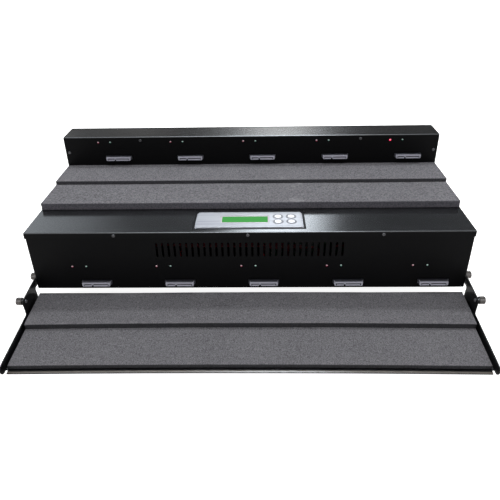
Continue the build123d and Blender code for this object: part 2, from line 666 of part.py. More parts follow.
def lcd_module():
    """The two-line display: its board, and the metal frame that holds the glass under the window."""
    x0 = WINDOW_CENTRE_X - LCD_WIDTH / 2
    y0 = WINDOW_CENTRE_Y - LCD_DEPTH / 2
    board = block(x0, x0 + LCD_WIDTH, y0, y0 + LCD_DEPTH, KEYPAD_TOP - BOARD_THICKNESS, KEYPAD_TOP)
    frame_x = WINDOW_WIDTH / 2 + WINDOW_BORDER
    frame_y = WINDOW_DEPTH / 2 + WINDOW_BORDER
    frame = block(WINDOW_CENTRE_X - frame_x, WINDOW_CENTRE_X + frame_x, WINDOW_CENTRE_Y - frame_y,
                  WINDOW_CENTRE_Y + frame_y, KEYPAD_TOP, PANEL_UNDERSIDE - LIP_GAP)
    back = block(x0 + LCD_WIDTH / 4, x0 + LCD_WIDTH * 3 / 4, y0 + LCD_DEPTH / 4, y0 + LCD_DEPTH * 3 / 4,
                 KEYPAD_TOP - LCD_HEIGHT / 2, KEYPAD_TOP - BOARD_THICKNESS)
    hole = SCREW_RADIUS + HOLE_CLEARANCE
    return board + frame + back - [bar_z(x, y, KEYPAD_TOP - CUT, KEYPAD_TOP + CUT / 2, hole)
                                   for x, y in lcd_post_places()]


def keypad_board():
    """The small board under the buttons."""
    x0 = BUTTON_CENTRE_X - KEYPAD_WIDTH / 2
    x0 = max(x0, WINDOW_CENTRE_X + LCD_WIDTH / 2 + LIP_GAP)
    y0 = BUTTON_CENTRE_Y - KEYPAD_DEPTH / 2
    board = block(x0, BUTTON_CENTRE_X + KEYPAD_WIDTH / 2, y0, y0 + KEYPAD_DEPTH,
                  KEYPAD_TOP - BOARD_THICKNESS, KEYPAD_TOP)
    hole = SCREW_RADIUS + HOLE_CLEARANCE
    return board - [bar_z(x, y, KEYPAD_TOP - CUT, KEYPAD_TOP + CUT, hole) for x, y in keypad_post_places()]


def keypad_switch(x, y):
    """A push switch under one button, clear of it by a little more than its travel."""
    top = PANEL_UNDERSIDE - LIP_GAP - SHEET - BUTTON_TRAVEL - HOLE_CLEARANCE
    body_top = KEYPAD_TOP + (top - KEYPAD_TOP) * 0.7
    half = SWITCH_SIZE / 2
    body = block(x - half, x + half, y - half, y + half, KEYPAD_TOP, body_top)
    return body + bar_z(x, y, KEYPAD_TOP, top, half / 2)


def menu_button(x, y):
    """A round button, a little dished, with a collar under the plate that keeps it in."""
    top = PANEL_PROUD + BUTTON_PROUD
    collar_top = PANEL_UNDERSIDE - LIP_GAP
    button = bar_z(x, y, collar_top, top, BUTTON_RADIUS)
    button = fillet(button.edges().sort_by(Axis.Z)[-1], BUTTON_PROUD * 0.8)
    return button + bar_z(x, y, collar_top - SHEET, collar_top, BUTTON_RADIUS + 2 * BUTTON_GAP)


def controller_corner_places():
    """The standoffs of the controller board: x and y."""
    half_x = CONTROLLER_WIDTH / 2 - STANDOFF_INSET
    half_y = CONTROLLER_DEPTH / 2 - STANDOFF_INSET
    return [(CONTROLLER_X + i * half_x, CONTROLLER_Y + j * half_y) for i in (-1, 1) for j in (-1, 1)]


def port_post_places(x, z):
    """The two posts of one port board, either side of the lamps: x and z."""
    left = x + PORT_BOARD_SHIFT - PORT_BOARD_WIDTH / 2 + STANDOFF_RADIUS + LIP_GAP
    right = x + PORT_BOARD_SHIFT + PORT_BOARD_WIDTH / 2 - STANDOFF_RADIUS - LIP_GAP
    middle = z - PORT_BOARD_DROP + PORT_BOARD_HEIGHT / 2
    return [(left, middle), (right, middle)]


def board_standoffs():
    """The posts under the controller board and behind the port faces."""
    bore = SCREW_RADIUS + HOLE_CLEARANCE
    posts = []
    for x, y in controller_corner_places():
        post = bar_z(x, y, FLOOR_Z, CONTROLLER_Z, STANDOFF_RADIUS)
        posts.append(post - bar_z(x, y, FLOOR_Z + SHEET, CONTROLLER_Z + CUT, bore))
    for x, z, face in banks():
        inside = face + SHEET
        for post_x, post_z in port_post_places(x, z):
            post = bar_y(post_x, inside, inside + PORT_STANDOFF, post_z, STANDOFF_RADIUS)
            posts.append(post - bar_y(post_x, inside + SHEET, inside + PORT_STANDOFF + CUT, post_z, bore))
    return posts


def board_screws():
    """The short screws of every board."""
    shank = BOARD_THICKNESS + PORT_STANDOFF - 2 * SHEET
    screw = pan_head_screw(shank)
    board_top = CONTROLLER_Z + BOARD_THICKNESS
    screws = [Pos(x, y, board_top) * screw for x, y in controller_corner_places()]
    under_board = KEYPAD_TOP - BOARD_THICKNESS
    for x, y in lcd_post_places() + keypad_post_places():
        screws.append(Pos(x, y, under_board) * Rot(180, 0, 0) * screw)
    for x, z, face in banks():
        back = face + SHEET + PORT_STANDOFF + BOARD_THICKNESS
        screws += [Pos(px, back, pz) * Rot(-90, 0, 0) * screw for px, pz in port_post_places(x, z)]
    return screws


def port_board(x, z, face):
    """One upright board behind a face, with holes for its two posts."""
    front = face + SHEET + PORT_STANDOFF
    x0 = x + PORT_BOARD_SHIFT - PORT_BOARD_WIDTH / 2
    z0 = z - PORT_BOARD_DROP
    board = block(x0, x0 + PORT_BOARD_WIDTH, front, front + BOARD_THICKNESS, z0, z0 + PORT_BOARD_HEIGHT)
    radius = SCREW_RADIUS + HOLE_CLEARANCE
    return board - [bar_y(px, front - CUT, front + BOARD_THICKNESS + CUT, pz, radius)
                    for px, pz in port_post_places(x, z)]


def sata_socket(x, z, face):
    """A drive socket: a shoulder, and a narrower nose with two slots and a key notch below."""
    back = face + SHEET + PORT_STANDOFF
    front = face - SOCKET_PROUD
    bottom = z - SOCKET_HEIGHT / 2
    top = z + SOCKET_HEIGHT / 2
    wide = SOCKET_WIDTH / 2
    narrow = SOCKET_NOSE_WIDTH / 2
    body = block(x - wide, x + wide, face - SOCKET_SHOULDER, back, bottom, top)
    body = fillet(body.edges().filter_by(Axis.Y), SOCKET_CORNER)
    nose = block(x - narrow, x + narrow, front, face, bottom, top)
    nose = fillet(nose.edges().filter_by(Axis.Y), SOCKET_CORNER)
    body += chamfer(nose.faces().sort_by(Axis.Y)[0].edges(), LIP_GAP)
    slots = SIGNAL_SLOT_WIDTH + SLOT_WALL + POWER_SLOT_WIDTH
    left = x - slots / 2
    floor = front + SOCKET_SLOT_DEPTH
    low = z - SOCKET_SLOT_HEIGHT / 2
    high = z + SOCKET_SLOT_HEIGHT / 2
    signal_end = left + SIGNAL_SLOT_WIDTH
    power_start = signal_end + SLOT_WALL
    body -= block(left, signal_end, front - CUT, floor, low, high)
    body -= block(power_start, power_start + POWER_SLOT_WIDTH, front - CUT, floor, low, high)
    body -= block(left, left + SOCKET_SLOT_HEIGHT, front - CUT, floor, low - SOCKET_SLOT_HEIGHT, high)
    body -= block(left + slots - SOCKET_SLOT_HEIGHT, left + slots, front - CUT, floor,
                  low - SOCKET_SLOT_HEIGHT, high)
    notch_x = signal_end + SLOT_WALL / 2
    notch = KEY_NOTCH / 2
    return body - block(notch_x - notch, notch_x + notch, front - CUT, floor, z - SOCKET_HEIGHT, low)


def lamp(x, z, face):
    """A round-nosed lamp that stands on its board and shows through the face."""
    back = face + SHEET + PORT_STANDOFF
    shoulder = face - LAMP_PROUD + LAMP_RADIUS
    stem = bar_y(x, shoulder, back, z, LAMP_RADIUS) + Pos(x, shoulder, z) * Sphere(LAMP_RADIUS)
    return stem + bar_y(x, back - SHEET, back, z, LAMP_RADIUS * 1.25)


def lamps(offset):
    """One lamp for each port, beside the socket by an offset."""
    return [lamp(x + offset, z + LAMP_RISE, face) for x, z, face in banks()]


def controller_board():
    """The main board."""
    x0 = CONTROLLER_X - CONTROLLER_WIDTH / 2
    y0 = CONTROLLER_Y - CONTROLLER_DEPTH / 2
    board = block(x0, x0 + CONTROLLER_WIDTH, y0, y0 + CONTROLLER_DEPTH, CONTROLLER_Z,
                  CONTROLLER_Z + BOARD_THICKNESS)
    radius = SCREW_RADIUS + HOLE_CLEARANCE
    return board - [bar_z(x, y, CONTROLLER_Z - CUT, CONTROLLER_Z + BOARD_THICKNESS + CUT, radius)
                    for x, y in controller_corner_places()]


def plug_places(edge):
    """The five plugs along the front (-1) or back (1) edge of the controller board: x and y."""
    first = CONTROLLER_X - CONNECTOR_PITCH * (PORT_COUNT - 1) / 2
    y = CONTROLLER_Y + edge * (CONTROLLER_DEPTH / 2 - CONNECTOR_DEPTH / 2)
    return [(first + CONNECTOR_PITCH * i, y) for i in range(PORT_COUNT)]


def controller_chips():
    """The main chip, two memory chips and a plug for every port cable, all on the board."""
    top = CONTROLLER_Z + BOARD_THICKNESS
    half = CHIP_SIZE / 2
    pieces = [block(CONTROLLER_X - half, CONTROLLER_X + half, CONTROLLER_Y - half, CONTROLLER_Y + half,
                    top, top + CHIP_HEIGHT)]
    for side in (-1, 1):
        x = CONTROLLER_X + side * CHIP_SIZE * 1.5
        pieces.append(block(x - half / 2, x + half / 2, CONTROLLER_Y - half / 2, CONTROLLER_Y + half / 2,
                            top, top + CHIP_HEIGHT / 2))
    for edge in (-1, 1):
        for x, y in plug_places(edge):
            pieces.append(block(x - CONNECTOR_WIDTH / 2, x + CONNECTOR_WIDTH / 2, y - CONNECTOR_DEPTH / 2,
                                y + CONNECTOR_DEPTH / 2, top, top + CONNECTOR_HEIGHT))
    return pieces


def controller_heatsink():
    """A finned heatsink on the main chip."""
    bottom = CONTROLLER_Z + BOARD_THICKNESS + CHIP_HEIGHT
    half = CHIP_SIZE / 2
    sink = block(CONTROLLER_X - half, CONTROLLER_X + half, CONTROLLER_Y - half, CONTROLLER_Y + half,
                 bottom, bottom + HEATSINK_HEIGHT)
    pitch = (CHIP_SIZE - FIN_WIDTH) / (HEATSINK_FINS - 1)
    gaps = []
    for index in range(HEATSINK_FINS - 1):
        x = CONTROLLER_X - half + FIN_WIDTH + pitch * index
        gaps.append(block(x, x + pitch - FIN_WIDTH, CONTROLLER_Y - CHIP_SIZE, CONTROLLER_Y + CHIP_SIZE,
                          bottom + HEATSINK_BASE, bottom + HEATSINK_HEIGHT + CUT))
    return sink - gaps


def supply_case():
    """The power supply's sheet case, vented on top and open at the terminal end."""
    x0 = SUPPLY_X - SUPPLY_WIDTH / 2
    x1 = SUPPLY_X + SUPPLY_WIDTH / 2
    y1 = SUPPLY_FRONT + SUPPLY_LENGTH
    top = FLOOR_Z + SUPPLY_HEIGHT
    case = block(x0, x1, SUPPLY_FRONT, y1, FLOOR_Z, top)
    case -= block(x0 + SHEET, x1 - SHEET, SUPPLY_FRONT + SHEET, y1 + CUT, FLOOR_Z + SHEET, top - SHEET)
    case -= block(x0 + SHEET, x1 - SHEET, y1 - TERMINAL_DEPTH, y1 + CUT, top - SHEET - CUT, top + CUT)
    pitch_x = SUPPLY_WIDTH / (SUPPLY_VENTS + 1)
    pitch_y = SUPPLY_LENGTH / (SUPPLY_VENT_ROWS + 1)
    slot = Rot(0, 0, 90) * SlotOverall(pitch_y * 0.7, pitch_x * 0.4)
    middle = Pos(SUPPLY_X, SUPPLY_FRONT + SUPPLY_LENGTH / 2)
    places = GridLocations(pitch_x, pitch_y, SUPPLY_VENTS, SUPPLY_VENT_ROWS)
    vents = [middle * place * slot for place in places]
    return case - Pos(0, 0, top - SHEET - CUT) * extrude(Sketch() + vents, SHEET + 2 * CUT)


def supply_board():
    """The supply's board with its transformer and two capacitors."""
    inset = 2 * SHEET
    x0 = SUPPLY_X - SUPPLY_WIDTH / 2 + inset
    x1 = SUPPLY_X + SUPPLY_WIDTH / 2 - inset
    y0 = SUPPLY_FRONT + inset
    y1 = SUPPLY_FRONT + SUPPLY_LENGTH - inset
    z0 = FLOOR_Z + inset
    top = z0 + BOARD_THICKNESS
    room = FLOOR_Z + SUPPLY_HEIGHT - SHEET - top
    board = block(x0, x1, y0, y1, z0, top)
    half = room / 2
    transformer = block(SUPPLY_X - half, SUPPLY_X + half, y0 + room, y0 + 2 * room, top, top + room * 0.85)
    for side in (-1, 1):
        board += bar_z(SUPPLY_X + side * half, y0 + 3 * room, top, top + room * 0.8, half * 0.7)
    return board + transformer


def supply_terminals():
    """The screw terminal strip at the supply's rear end."""
    y1 = SUPPLY_FRONT + SUPPLY_LENGTH - 2 * SHEET
    z0 = FLOOR_Z + 2 * SHEET + BOARD_THICKNESS
    strip = block(SUPPLY_X - TERMINAL_WIDTH / 2, SUPPLY_X + TERMINAL_WIDTH / 2,
                  y1 - TERMINAL_DEPTH + SHEET * 2, y1, z0, z0 + TERMINAL_HEIGHT)
    pitch = TERMINAL_WIDTH / 8
    holes = [bar_z(SUPPLY_X + pitch * (i - 3.5), y1 - TERMINAL_DEPTH / 2 + SHEET, z0 + TERMINAL_HEIGHT / 2,
                   z0 + TERMINAL_HEIGHT + CUT, pitch * 0.35) for i in range(8)]
    return strip - holes


def rocker_place():
    """The pivot of the rocker: x, y and z."""
    return INLET_X, BACK_Y + INLET_FLANGE - ROCKER_PIVOT_DEPTH, INLET_Z + ROCKER_RISE


def drawer_block(margin):
    """The fuse drawer's body, grown by a margin on its four long sides and its inner end."""
    front = BACK_Y + INLET_FLANGE
    z = INLET_Z + DRAWER_RISE
    half_x = DRAWER_WIDTH / 2 + margin
    half_z = DRAWER_HEIGHT / 2 + margin
    return block(INLET_X - half_x, INLET_X + half_x, front - DRAWER_DEPTH - margin, front,
                 z - half_z, z + half_z)


def power_inlet():
    """The moulded mains inlet: a flange, a socket cavity, the drawer's slot and the rocker's opening."""
    front = BACK_Y + INLET_FLANGE
    flange = block(INLET_X - INLET_WIDTH / 2, INLET_X + INLET_WIDTH / 2, BACK_Y, front,
                   INLET_Z - INLET_HEIGHT / 2, INLET_Z + INLET_HEIGHT / 2)
    flange = fillet(flange.edges().filter_by(Axis.Y), INLET_RIM)
    half_x = INLET_WIDTH / 2 - INLET_RIM - HOLE_CLEARANCE
    half_z = INLET_HEIGHT / 2 - INLET_RIM - HOLE_CLEARANCE
    body = block(INLET_X - half_x, INLET_X + half_x, BACK_Y - INLET_BODY_DEPTH, BACK_Y,
                 INLET_Z - half_z, INLET_Z + half_z)
    inlet = flange + body
    cavity_z = INLET_Z - SOCKET_CAVITY_DROP
    cavity = Rectangle(SOCKET_CAVITY_WIDTH, SOCKET_CAVITY_HEIGHT)
    cavity = chamfer(cavity.vertices().sort_by(Axis.Y)[-2:], SOCKET_CAVITY_HEIGHT / 4)
    inlet -= cut_along_y(Pos(INLET_X, cavity_z) * cavity, front - SOCKET_CAVITY_DEPTH, front + CUT)
    inlet -= pins()
    inlet -= drawer_block(DRAWER_GAP)
    inlet -= Pos(0, CUT / 2, 0) * drawer_block(DRAWER_GAP)
    x, y, z = rocker_place()
    gap = ROCKER_RADIUS + DRAWER_GAP
    half = ROCKER_HEIGHT / 2 + DRAWER_GAP
    return inlet - block(x - gap, x + gap, y - ROCKER_RADIUS, front + CUT, z - half, z + half)


def pin_places():
    """The earth pin in the middle above, and the two others below: x and z."""
    z = INLET_Z - SOCKET_CAVITY_DROP
    low = z - PIN_HEIGHT / 4
    return [(INLET_X, z + PIN_HEIGHT), (INLET_X - PIN_SPACING / 2, low), (INLET_X + PIN_SPACING / 2, low)]


def pins():
    """The flat pins, pressed in from behind the body to just inside the cavity's mouth."""
    front = BACK_Y + INLET_FLANGE - PIN_SHORT
    back = BACK_Y - INLET_BODY_DEPTH - PIN_SHORT
    half_x = PIN_WIDTH / 2
    half_z = PIN_HEIGHT / 2
    return [block(x - half_x, x + half_x, back, front, z - half_z, z + half_z) for x, z in pin_places()]


def power_rocker():
    """The switch rocker: round sides about its pivot and two facets that meet in the middle."""
    x, y, z = rocker_place()
    reach = ROCKER_PROUD - INLET_FLANGE + ROCKER_PIVOT_DEPTH
    drop = ROCKER_RADIUS * math.tan(math.radians(ROCKER_ANGLE))
    wide = ROCKER_RADIUS * 1.2
    edge = reach - drop * 1.2 - drop * 0.6
    ridge = reach - drop * 0.6
    outline = Polyline((-wide, edge), (0, ridge), (wide, edge), (wide, -ROCKER_PIVOT_DEPTH),
                       (-wide, -ROCKER_PIVOT_DEPTH), close=True)
    wedge = extrude(make_face(outline), ROCKER_HEIGHT / 2, both=True)
    return Pos(x, y, z) * Rot(0, 0, -ROCKER_ANGLE) * (wedge & Cylinder(ROCKER_RADIUS, ROCKER_HEIGHT))


def fuse_drawer():
    """The small drawer that holds the fuse, with a finger recess in its front."""
    drawer = drawer_block(0)
    front = BACK_Y + INLET_FLANGE
    z = INLET_Z + DRAWER_RISE
    quarter = DRAWER_HEIGHT / 4
    drawer -= block(INLET_X - DRAWER_WIDTH / 4, INLET_X + DRAWER_WIDTH / 4, front - SHEET, front + CUT,
                    z - quarter, z + quarter)
    return drawer - block(INLET_X - DRAWER_WIDTH / 2 + SHEET, INLET_X + DRAWER_WIDTH / 2 - SHEET,
                          front - DRAWER_DEPTH + SHEET, front - 3 * SHEET, z - quarter, z + DRAWER_HEIGHT)


def fan_frame(x):
    """A square fan frame with a round duct, a motor seat on struts and a bearing bore."""
    frame = RectangleRounded(FAN_SIZE, FAN_SIZE, FAN_CORNER) - Circle(FAN_DUCT_RADIUS)
    frame -= [hole * Circle(FAN_SCREW_RADIUS + HOLE_CLEARANCE)
              for hole in GridLocations(FAN_HOLE_SPACING, FAN_HOLE_SPACING, 2, 2)]
    y0 = SHELL_BACK - FAN_DEPTH
    body = cut_along_y(Pos(x, FAN_Z) * frame, y0, SHELL_BACK)
    strut = Rectangle(2 * FAN_DUCT_RADIUS + CUT, STRUT_WIDTH)
    struts = Circle(MOTOR_RADIUS) + [Rot(0, 0, angle) * strut for angle in (45, 135)]
    struts -= Circle(SHAFT_RADIUS + FIT)
    return body + cut_along_y(Pos(x, FAN_Z) * struts, SHELL_BACK - MOTOR_LENGTH, SHELL_BACK - SHEET)


def fan_rotor(x):
    """The hub, its twisted blades and the shaft that runs in the frame's bearing."""
    y0 = SHELL_BACK - FAN_DEPTH + SHEET
    y1 = y0 + HUB_LENGTH - SHEET
    hub = bar_y(x, y0, y1, FAN_Z, HUB_RADIUS)
    hub = fillet(hub.edges().sort_by(Axis.Y)[0], BEND)
    hub += bar_y(x, y1, SHELL_BACK - 2 * SHEET, FAN_Z, SHAFT_RADIUS)
    reach = FAN_DUCT_RADIUS - FAN_BLADE_GAP
    middle = (HUB_RADIUS * 0.9 + reach + CUT) / 2
    chord = (y1 - y0) * 0.8 / math.cos(math.radians(BLADE_TWIST))
    blade = Box(reach + CUT - HUB_RADIUS * 0.9, BLADE_THICKNESS, chord)
    blade = Pos(middle, 0, 0) * Rot(BLADE_TWIST, 0, 0) * blade
    blades = [Rot(0, 0, 360 / FAN_BLADES * i) * blade for i in range(FAN_BLADES)]
    ring = Cylinder(reach, y1 - y0) - Cylinder(HUB_RADIUS * 0.92, y1 - y0)
    swept = (Part() + blades) & ring
    return hub + Pos(x, (y0 + y1) / 2, FAN_Z) * Rot(90, 0, 0) * swept


def fan_guard(x):
    """A wire guard outside the rear panel: rings on two crossed wires that end in screw eyes."""
    y = BACK_Y + GUARD_WIRE
    ring_y = y + 2 * GUARD_WIRE - GUARD_WIRE * 0.4
    reach = FAN_HOLE_SPACING / 2 * math.sqrt(2)
    wires = []
    for index in range(GUARD_RINGS):
        radius = FAN_DUCT_RADIUS * (index + 1) / GUARD_RINGS
        wires.append(Pos(x, ring_y, FAN_Z) * Rot(90, 0, 0) * Torus(radius, GUARD_WIRE))
    for angle in (45, -45):
        wire = Cylinder(GUARD_WIRE, 2 * (reach - FAN_SCREW_HEAD_RADIUS))
        wires.append(Pos(x, y, FAN_Z) * Rot(0, angle, 0) * wire)
    for side_x in (-1, 1):
        for side_z in (-1, 1):
            eye = Torus(FAN_SCREW_HEAD_RADIUS - GUARD_WIRE / 2, GUARD_WIRE)
            half = FAN_HOLE_SPACING / 2
            wires.append(Pos(x + side_x * half, y, FAN_Z + side_z * half) * Rot(90, 0, 0) * eye)
    return Part() + wires


def fan_screws():
    """The screws through each guard, the panel and the fan frame."""
    screws = []
    seat = BACK_Y + 2 * GUARD_WIRE
    half = FAN_HOLE_SPACING / 2
    for x in FAN_X:
        for side_x in (-1, 1):
            for side_z in (-1, 1):
                head = bar_y(x + side_x * half, seat, seat + FAN_SCREW_HEAD, FAN_Z + side_z * half,
                             FAN_SCREW_HEAD_RADIUS)
                shank = bar_y(x + side_x * half, seat - FAN_SCREW_LENGTH, seat, FAN_Z + side_z * half,
                              FAN_SCREW_RADIUS)
                screws.append(head + shank)
    return screws


def crown_rise(x):
    """How much the crown lifts the tray at a place across it; nothing at the arms' inner faces."""
    radius = (ARM_INSIDE ** 2 + TRAY_CROWN ** 2) / (2 * TRAY_CROWN)
    return TRAY_CROWN - radius + math.sqrt(radius ** 2 - x ** 2)


def crown_arc(half, drop):
    """The crown's curve at one drop, from side to side."""
    end = crown_rise(half) - drop
    return ThreePointArc((-half, end), (0, TRAY_CROWN - drop), (half, end))


def crowned_band(half, bottom_drop, top_drop, back, front):
    """A sheet or pad across the tray, crowned in the middle, between two drops and two reaches."""
    top = crown_arc(half, top_drop)
    bottom = crown_arc(half, bottom_drop)
    ends = [Line(bottom @ end, top @ end) for end in (0, 1)]
    return cut_along_y(make_face([top, bottom] + ends), -front, -back)


def arm_outline():
    """One arm seen from the side: hinge lug, lock lug, heel and the low flange with its round tip."""
    def strip(back, front, top, bottom):
        return Pos(-(back + front) / 2, (top + bottom) / 2) * Rectangle(front - back, top - bottom)
    outline = strip(0, LUG_REACH, ARM_END_RADIUS, -ARM_END_RADIUS)
    outline += strip(ARM_HEEL, LUG_REACH, ARM_END_RADIUS, -FLOOR_BOTTOM)
    outline += strip(ARM_HEEL, NOTCH_REACH, -FLANGE_TOP_DROP, -FLOOR_BOTTOM)
    outline += strip(ARM_HEEL, TIP_REACH, -FLANGE_TOP_DROP, -FLANGE_TOP_DROP - 2 * TIP_RADIUS)
    corners = outline.vertices()
    inner = [corners.sort_by_distance((-LUG_REACH, -FLANGE_TOP_DROP, 0))[0],
             corners.sort_by_distance((-ARM_HEEL, -ARM_END_RADIUS, 0))[0]]
    outline = fillet(inner, ARM_CORNER)
    lug_corner = outline.vertices().sort_by_distance((-LUG_REACH, ARM_END_RADIUS, 0))[0]
    outline = chamfer(lug_corner, LUG_CORNER)
    outline += Circle(ARM_END_RADIUS) + Pos(-TIP_REACH, -TIP_CENTRE_DROP) * Circle(TIP_RADIUS)
    outline -= Circle(SHANK_RADIUS + FIT)
    return outline - Pos(-LOCK_REACH, 0) * Circle(SHANK_RADIUS + FIT)


def tray_section():
    """The folded sheet's section across the tray: a crowned floor between two upright arms."""
    def trough(half, drop, corner):
        floor = crown_arc(half, drop)
        rim = ARM_END_RADIUS + CUT
        sides = Polyline(floor @ 1, (half, rim), (-half, rim), floor @ 0)
        face = make_face([floor, sides])
        return fillet(face.vertices().sort_by(Axis.Y)[:2], corner)
    outside = trough(ARM_OUTSIDE, FLOOR_BOTTOM, TRAY_BEND + TRAY_SHEET)
    return outside - trough(ARM_INSIDE, FLOOR_DROP, TRAY_BEND)


def tray_pan():
    """The swing-up tray: floor, two arms and a back lip folded from one sheet."""
    reach = TIP_REACH + TIP_RADIUS + CUT
    folded = cut_along_y(tray_section(), -reach, ARM_END_RADIUS + CUT)
    outline = arm_outline()
    room = cut_along_x(outline, TRAY_FOAM_HALF, ARM_OUTSIDE + CUT)
    room += cut_along_x(outline, -ARM_OUTSIDE - CUT, -TRAY_FOAM_HALF)
    lip_back = TRAY_FOAM_BACK - BACK_LIP_GAP - TRAY_SHEET
    room += block(-TRAY_FOAM_HALF, TRAY_FOAM_HALF, -FLOOR_FRONT, -lip_back, -FLOOR_BOTTOM - CUT, 0)
    lip_top = FLOOR_DROP - TRAY_FOAM_LOWER - TRAY_FOAM_UPPER
    lip = crowned_band(TRAY_FOAM_HALF, FLOOR_BOTTOM, lip_top, lip_back, lip_back + TRAY_SHEET)
    lip -= block(-ARM_INSIDE, ARM_INSIDE, -TRAY_FOAM_BACK, 0, -lip_top, 0)
    return TRAY_PLACE * ((folded & room) + lip)


def tray_foam_lower():
    """The lower foam sheet of the tray, over the whole floor."""
    top = FLOOR_DROP - TRAY_FOAM_LOWER
    return TRAY_PLACE * crowned_band(TRAY_FOAM_HALF, FLOOR_DROP, top, TRAY_FOAM_BACK, TRAY_FOAM_FRONT)


def tray_foam_upper():
    """The upper foam sheet of the tray, at the socket end."""
    bottom = FLOOR_DROP - TRAY_FOAM_LOWER
    top = bottom - TRAY_FOAM_UPPER
    return TRAY_PLACE * crowned_band(TRAY_FOAM_HALF, bottom, top, TRAY_FOAM_BACK, TRAY_FOAM_STEP)


def arm_end_stud():
    """The low round stud on the outside of the right arm's tip."""
    y = -TIP_REACH
    z = -TIP_CENTRE_DROP
    stud = bar_x(ARM_OUTSIDE, ARM_OUTSIDE + STUD_PROUD, y, z, STUD_RADIUS)
    return TRAY_PLACE * fillet(stud.edges().sort_by(Axis.X)[-1], STUD_PROUD / 3)


def knurled_knob(start):
    """A knurled cap with a blind bore, along X from its open end."""
    points = []
    for index in range(2 * KNURL_COUNT):
        radius = THUMB_RADIUS - KNURL_DEPTH * (index % 2)
        angle = math.pi * index / KNURL_COUNT
        points.append((radius * math.cos(angle), radius * math.sin(angle)))
    rolled = extrude(make_face(Polyline(*points, close=True)), THUMB_LENGTH)
    turned = bar_z(0, 0, 0, THUMB_LENGTH, THUMB_RADIUS)
    rims = turned.edges().group_by(Axis.Z)
    turned = chamfer(rims[-1] + rims[0], 2 * KNURL_DEPTH)
    bore = bar_z(0, 0, 0, THUMB_LENGTH - THUMB_END_WALL, SHANK_RADIUS + FIT)
    return Pos(start, 0, 0) * Rot(0, 90, 0) * ((rolled & turned) - bore)


def pivot_head():
    """Where the right pivot knob starts: outside its washer."""
    return ARM_OUTSIDE + 2 * WASHER_PLAY + washer_thickness()


def washer_thickness():
    """The washers fill the gap between the chassis side and the arm, and one more sits outside."""
    return (ARM_GAP - (WASHER_COUNT + 1) * WASHER_PLAY) / WASHER_COUNT


def pivot_screw():
    """The right pivot's shank: from the nut inside the chassis to the knob's bore."""
    start = PAN_HALF - PIVOT_THREAD
    end = pivot_head() + THUMB_LENGTH - THUMB_END_WALL - WASHER_PLAY
    return bar_x(start, end, PIVOT_Y, PIVOT_Z, SHANK_RADIUS)


def pivot_knob():
    """The right pivot's knurled knob."""
    return Pos(0, PIVOT_Y, PIVOT_Z) * knurled_knob(pivot_head())


def pivot_nut():
    """The clinch nut in the chassis side: a barrel in the sheet and a wider body inside."""
    nut = bar_x(PAN_HALF - SHEET, PAN_HALF, PIVOT_Y, PIVOT_Z, PIVOT_NUT_BARREL)
    nut += bar_x(PAN_HALF - SHEET - PIVOT_NUT_LENGTH, PAN_HALF - SHEET, PIVOT_Y, PIVOT_Z, PIVOT_NUT_RADIUS)
    return nut - bar_x(0, COVER_HALF, PIVOT_Y, PIVOT_Z, SHANK_RADIUS + FIT)


def pivot_washers():
    """The washers between the chassis side and the right arm, and the one under the knob."""
    thickness = washer_thickness()
    starts = [PAN_HALF + WASHER_PLAY + (thickness + WASHER_PLAY) * i for i in range(WASHER_COUNT)]
    starts.append(ARM_OUTSIDE + WASHER_PLAY)
    washers = []
    for start in starts:
        disc = bar_x(start, start + thickness, PIVOT_Y, PIVOT_Z, WASHER_RADIUS)
        washers.append(disc - bar_x(0, 2 * COVER_HALF, PIVOT_Y, PIVOT_Z, SHANK_RADIUS + FIT))
    return washers


def lock_screw():
    """The right lock's shank, backed out so that its tip just shows inside the arm."""
    head = ARM_OUTSIDE + LOCK_BACKED_OUT
    end = head + THUMB_LENGTH - THUMB_END_WALL - WASHER_PLAY
    shank = bar_x(ARM_INSIDE - LOCK_TIP, end, -LOCK_REACH, 0, SHANK_RADIUS)
    return TRAY_PLACE * chamfer(shank.edges().sort_by(Axis.X)[0], HOLE_CLEARANCE * 3)


def lock_knob():
    """The right lock's knurled knob."""
    return TRAY_PLACE * Pos(0, -LOCK_REACH, 0) * knurled_knob(ARM_OUTSIDE + LOCK_BACKED_OUT)


def mirrored(solid):
    """The left-hand copy of a right-hand piece."""
    return mirror(solid, Plane.YZ)


def cable(points):
    """A round cable along straight runs joined by arcs."""
    path = FilletPolyline(*points, radius=CABLE_BEND)
    section = Plane(origin=path @ 0, z_dir=path % 0) * Circle(CABLE_RADIUS)
    return sweep(section, path=path)


def nesting(target_x, plugs):
    """For each cable, how many cables on its own side of the board reach further out than it does."""
    orders = []
    for index, x in enumerate(target_x):
        outward = [abs(other - CONTROLLER_X) for i, other in enumerate(target_x)
                   if (other < plugs[i][0]) == (x < plugs[index][0])]
        orders.append(sum(1 for distance in outward if distance > abs(x - CONTROLLER_X)))
    return orders


def plug_runs(edge, targets):
    """Each cable's start: out of its plug, up beside the board and across to its target, over the supply."""
    low = CONTROLLER_Z + BOARD_THICKNESS + CONNECTOR_HEIGHT / 2
    high = cable_height()
    start = CONTROLLER_Y + edge * CONTROLLER_DEPTH / 2
    plugs = plug_places(edge)
    runs = []
    for order, x, plug in zip(nesting(targets, plugs), targets, plugs):
        lane = start + edge * (CABLE_BEND + CABLE_LANE * (order + 1))
        runs.append([(plug[0], start, low), (plug[0], lane, low), (plug[0], lane, high), (x, lane, high)])
    return runs


def cable_height():
    """The level of the cables' long runs, over the power supply."""
    return FLOOR_Z + SUPPLY_HEIGHT + CABLE_LANE


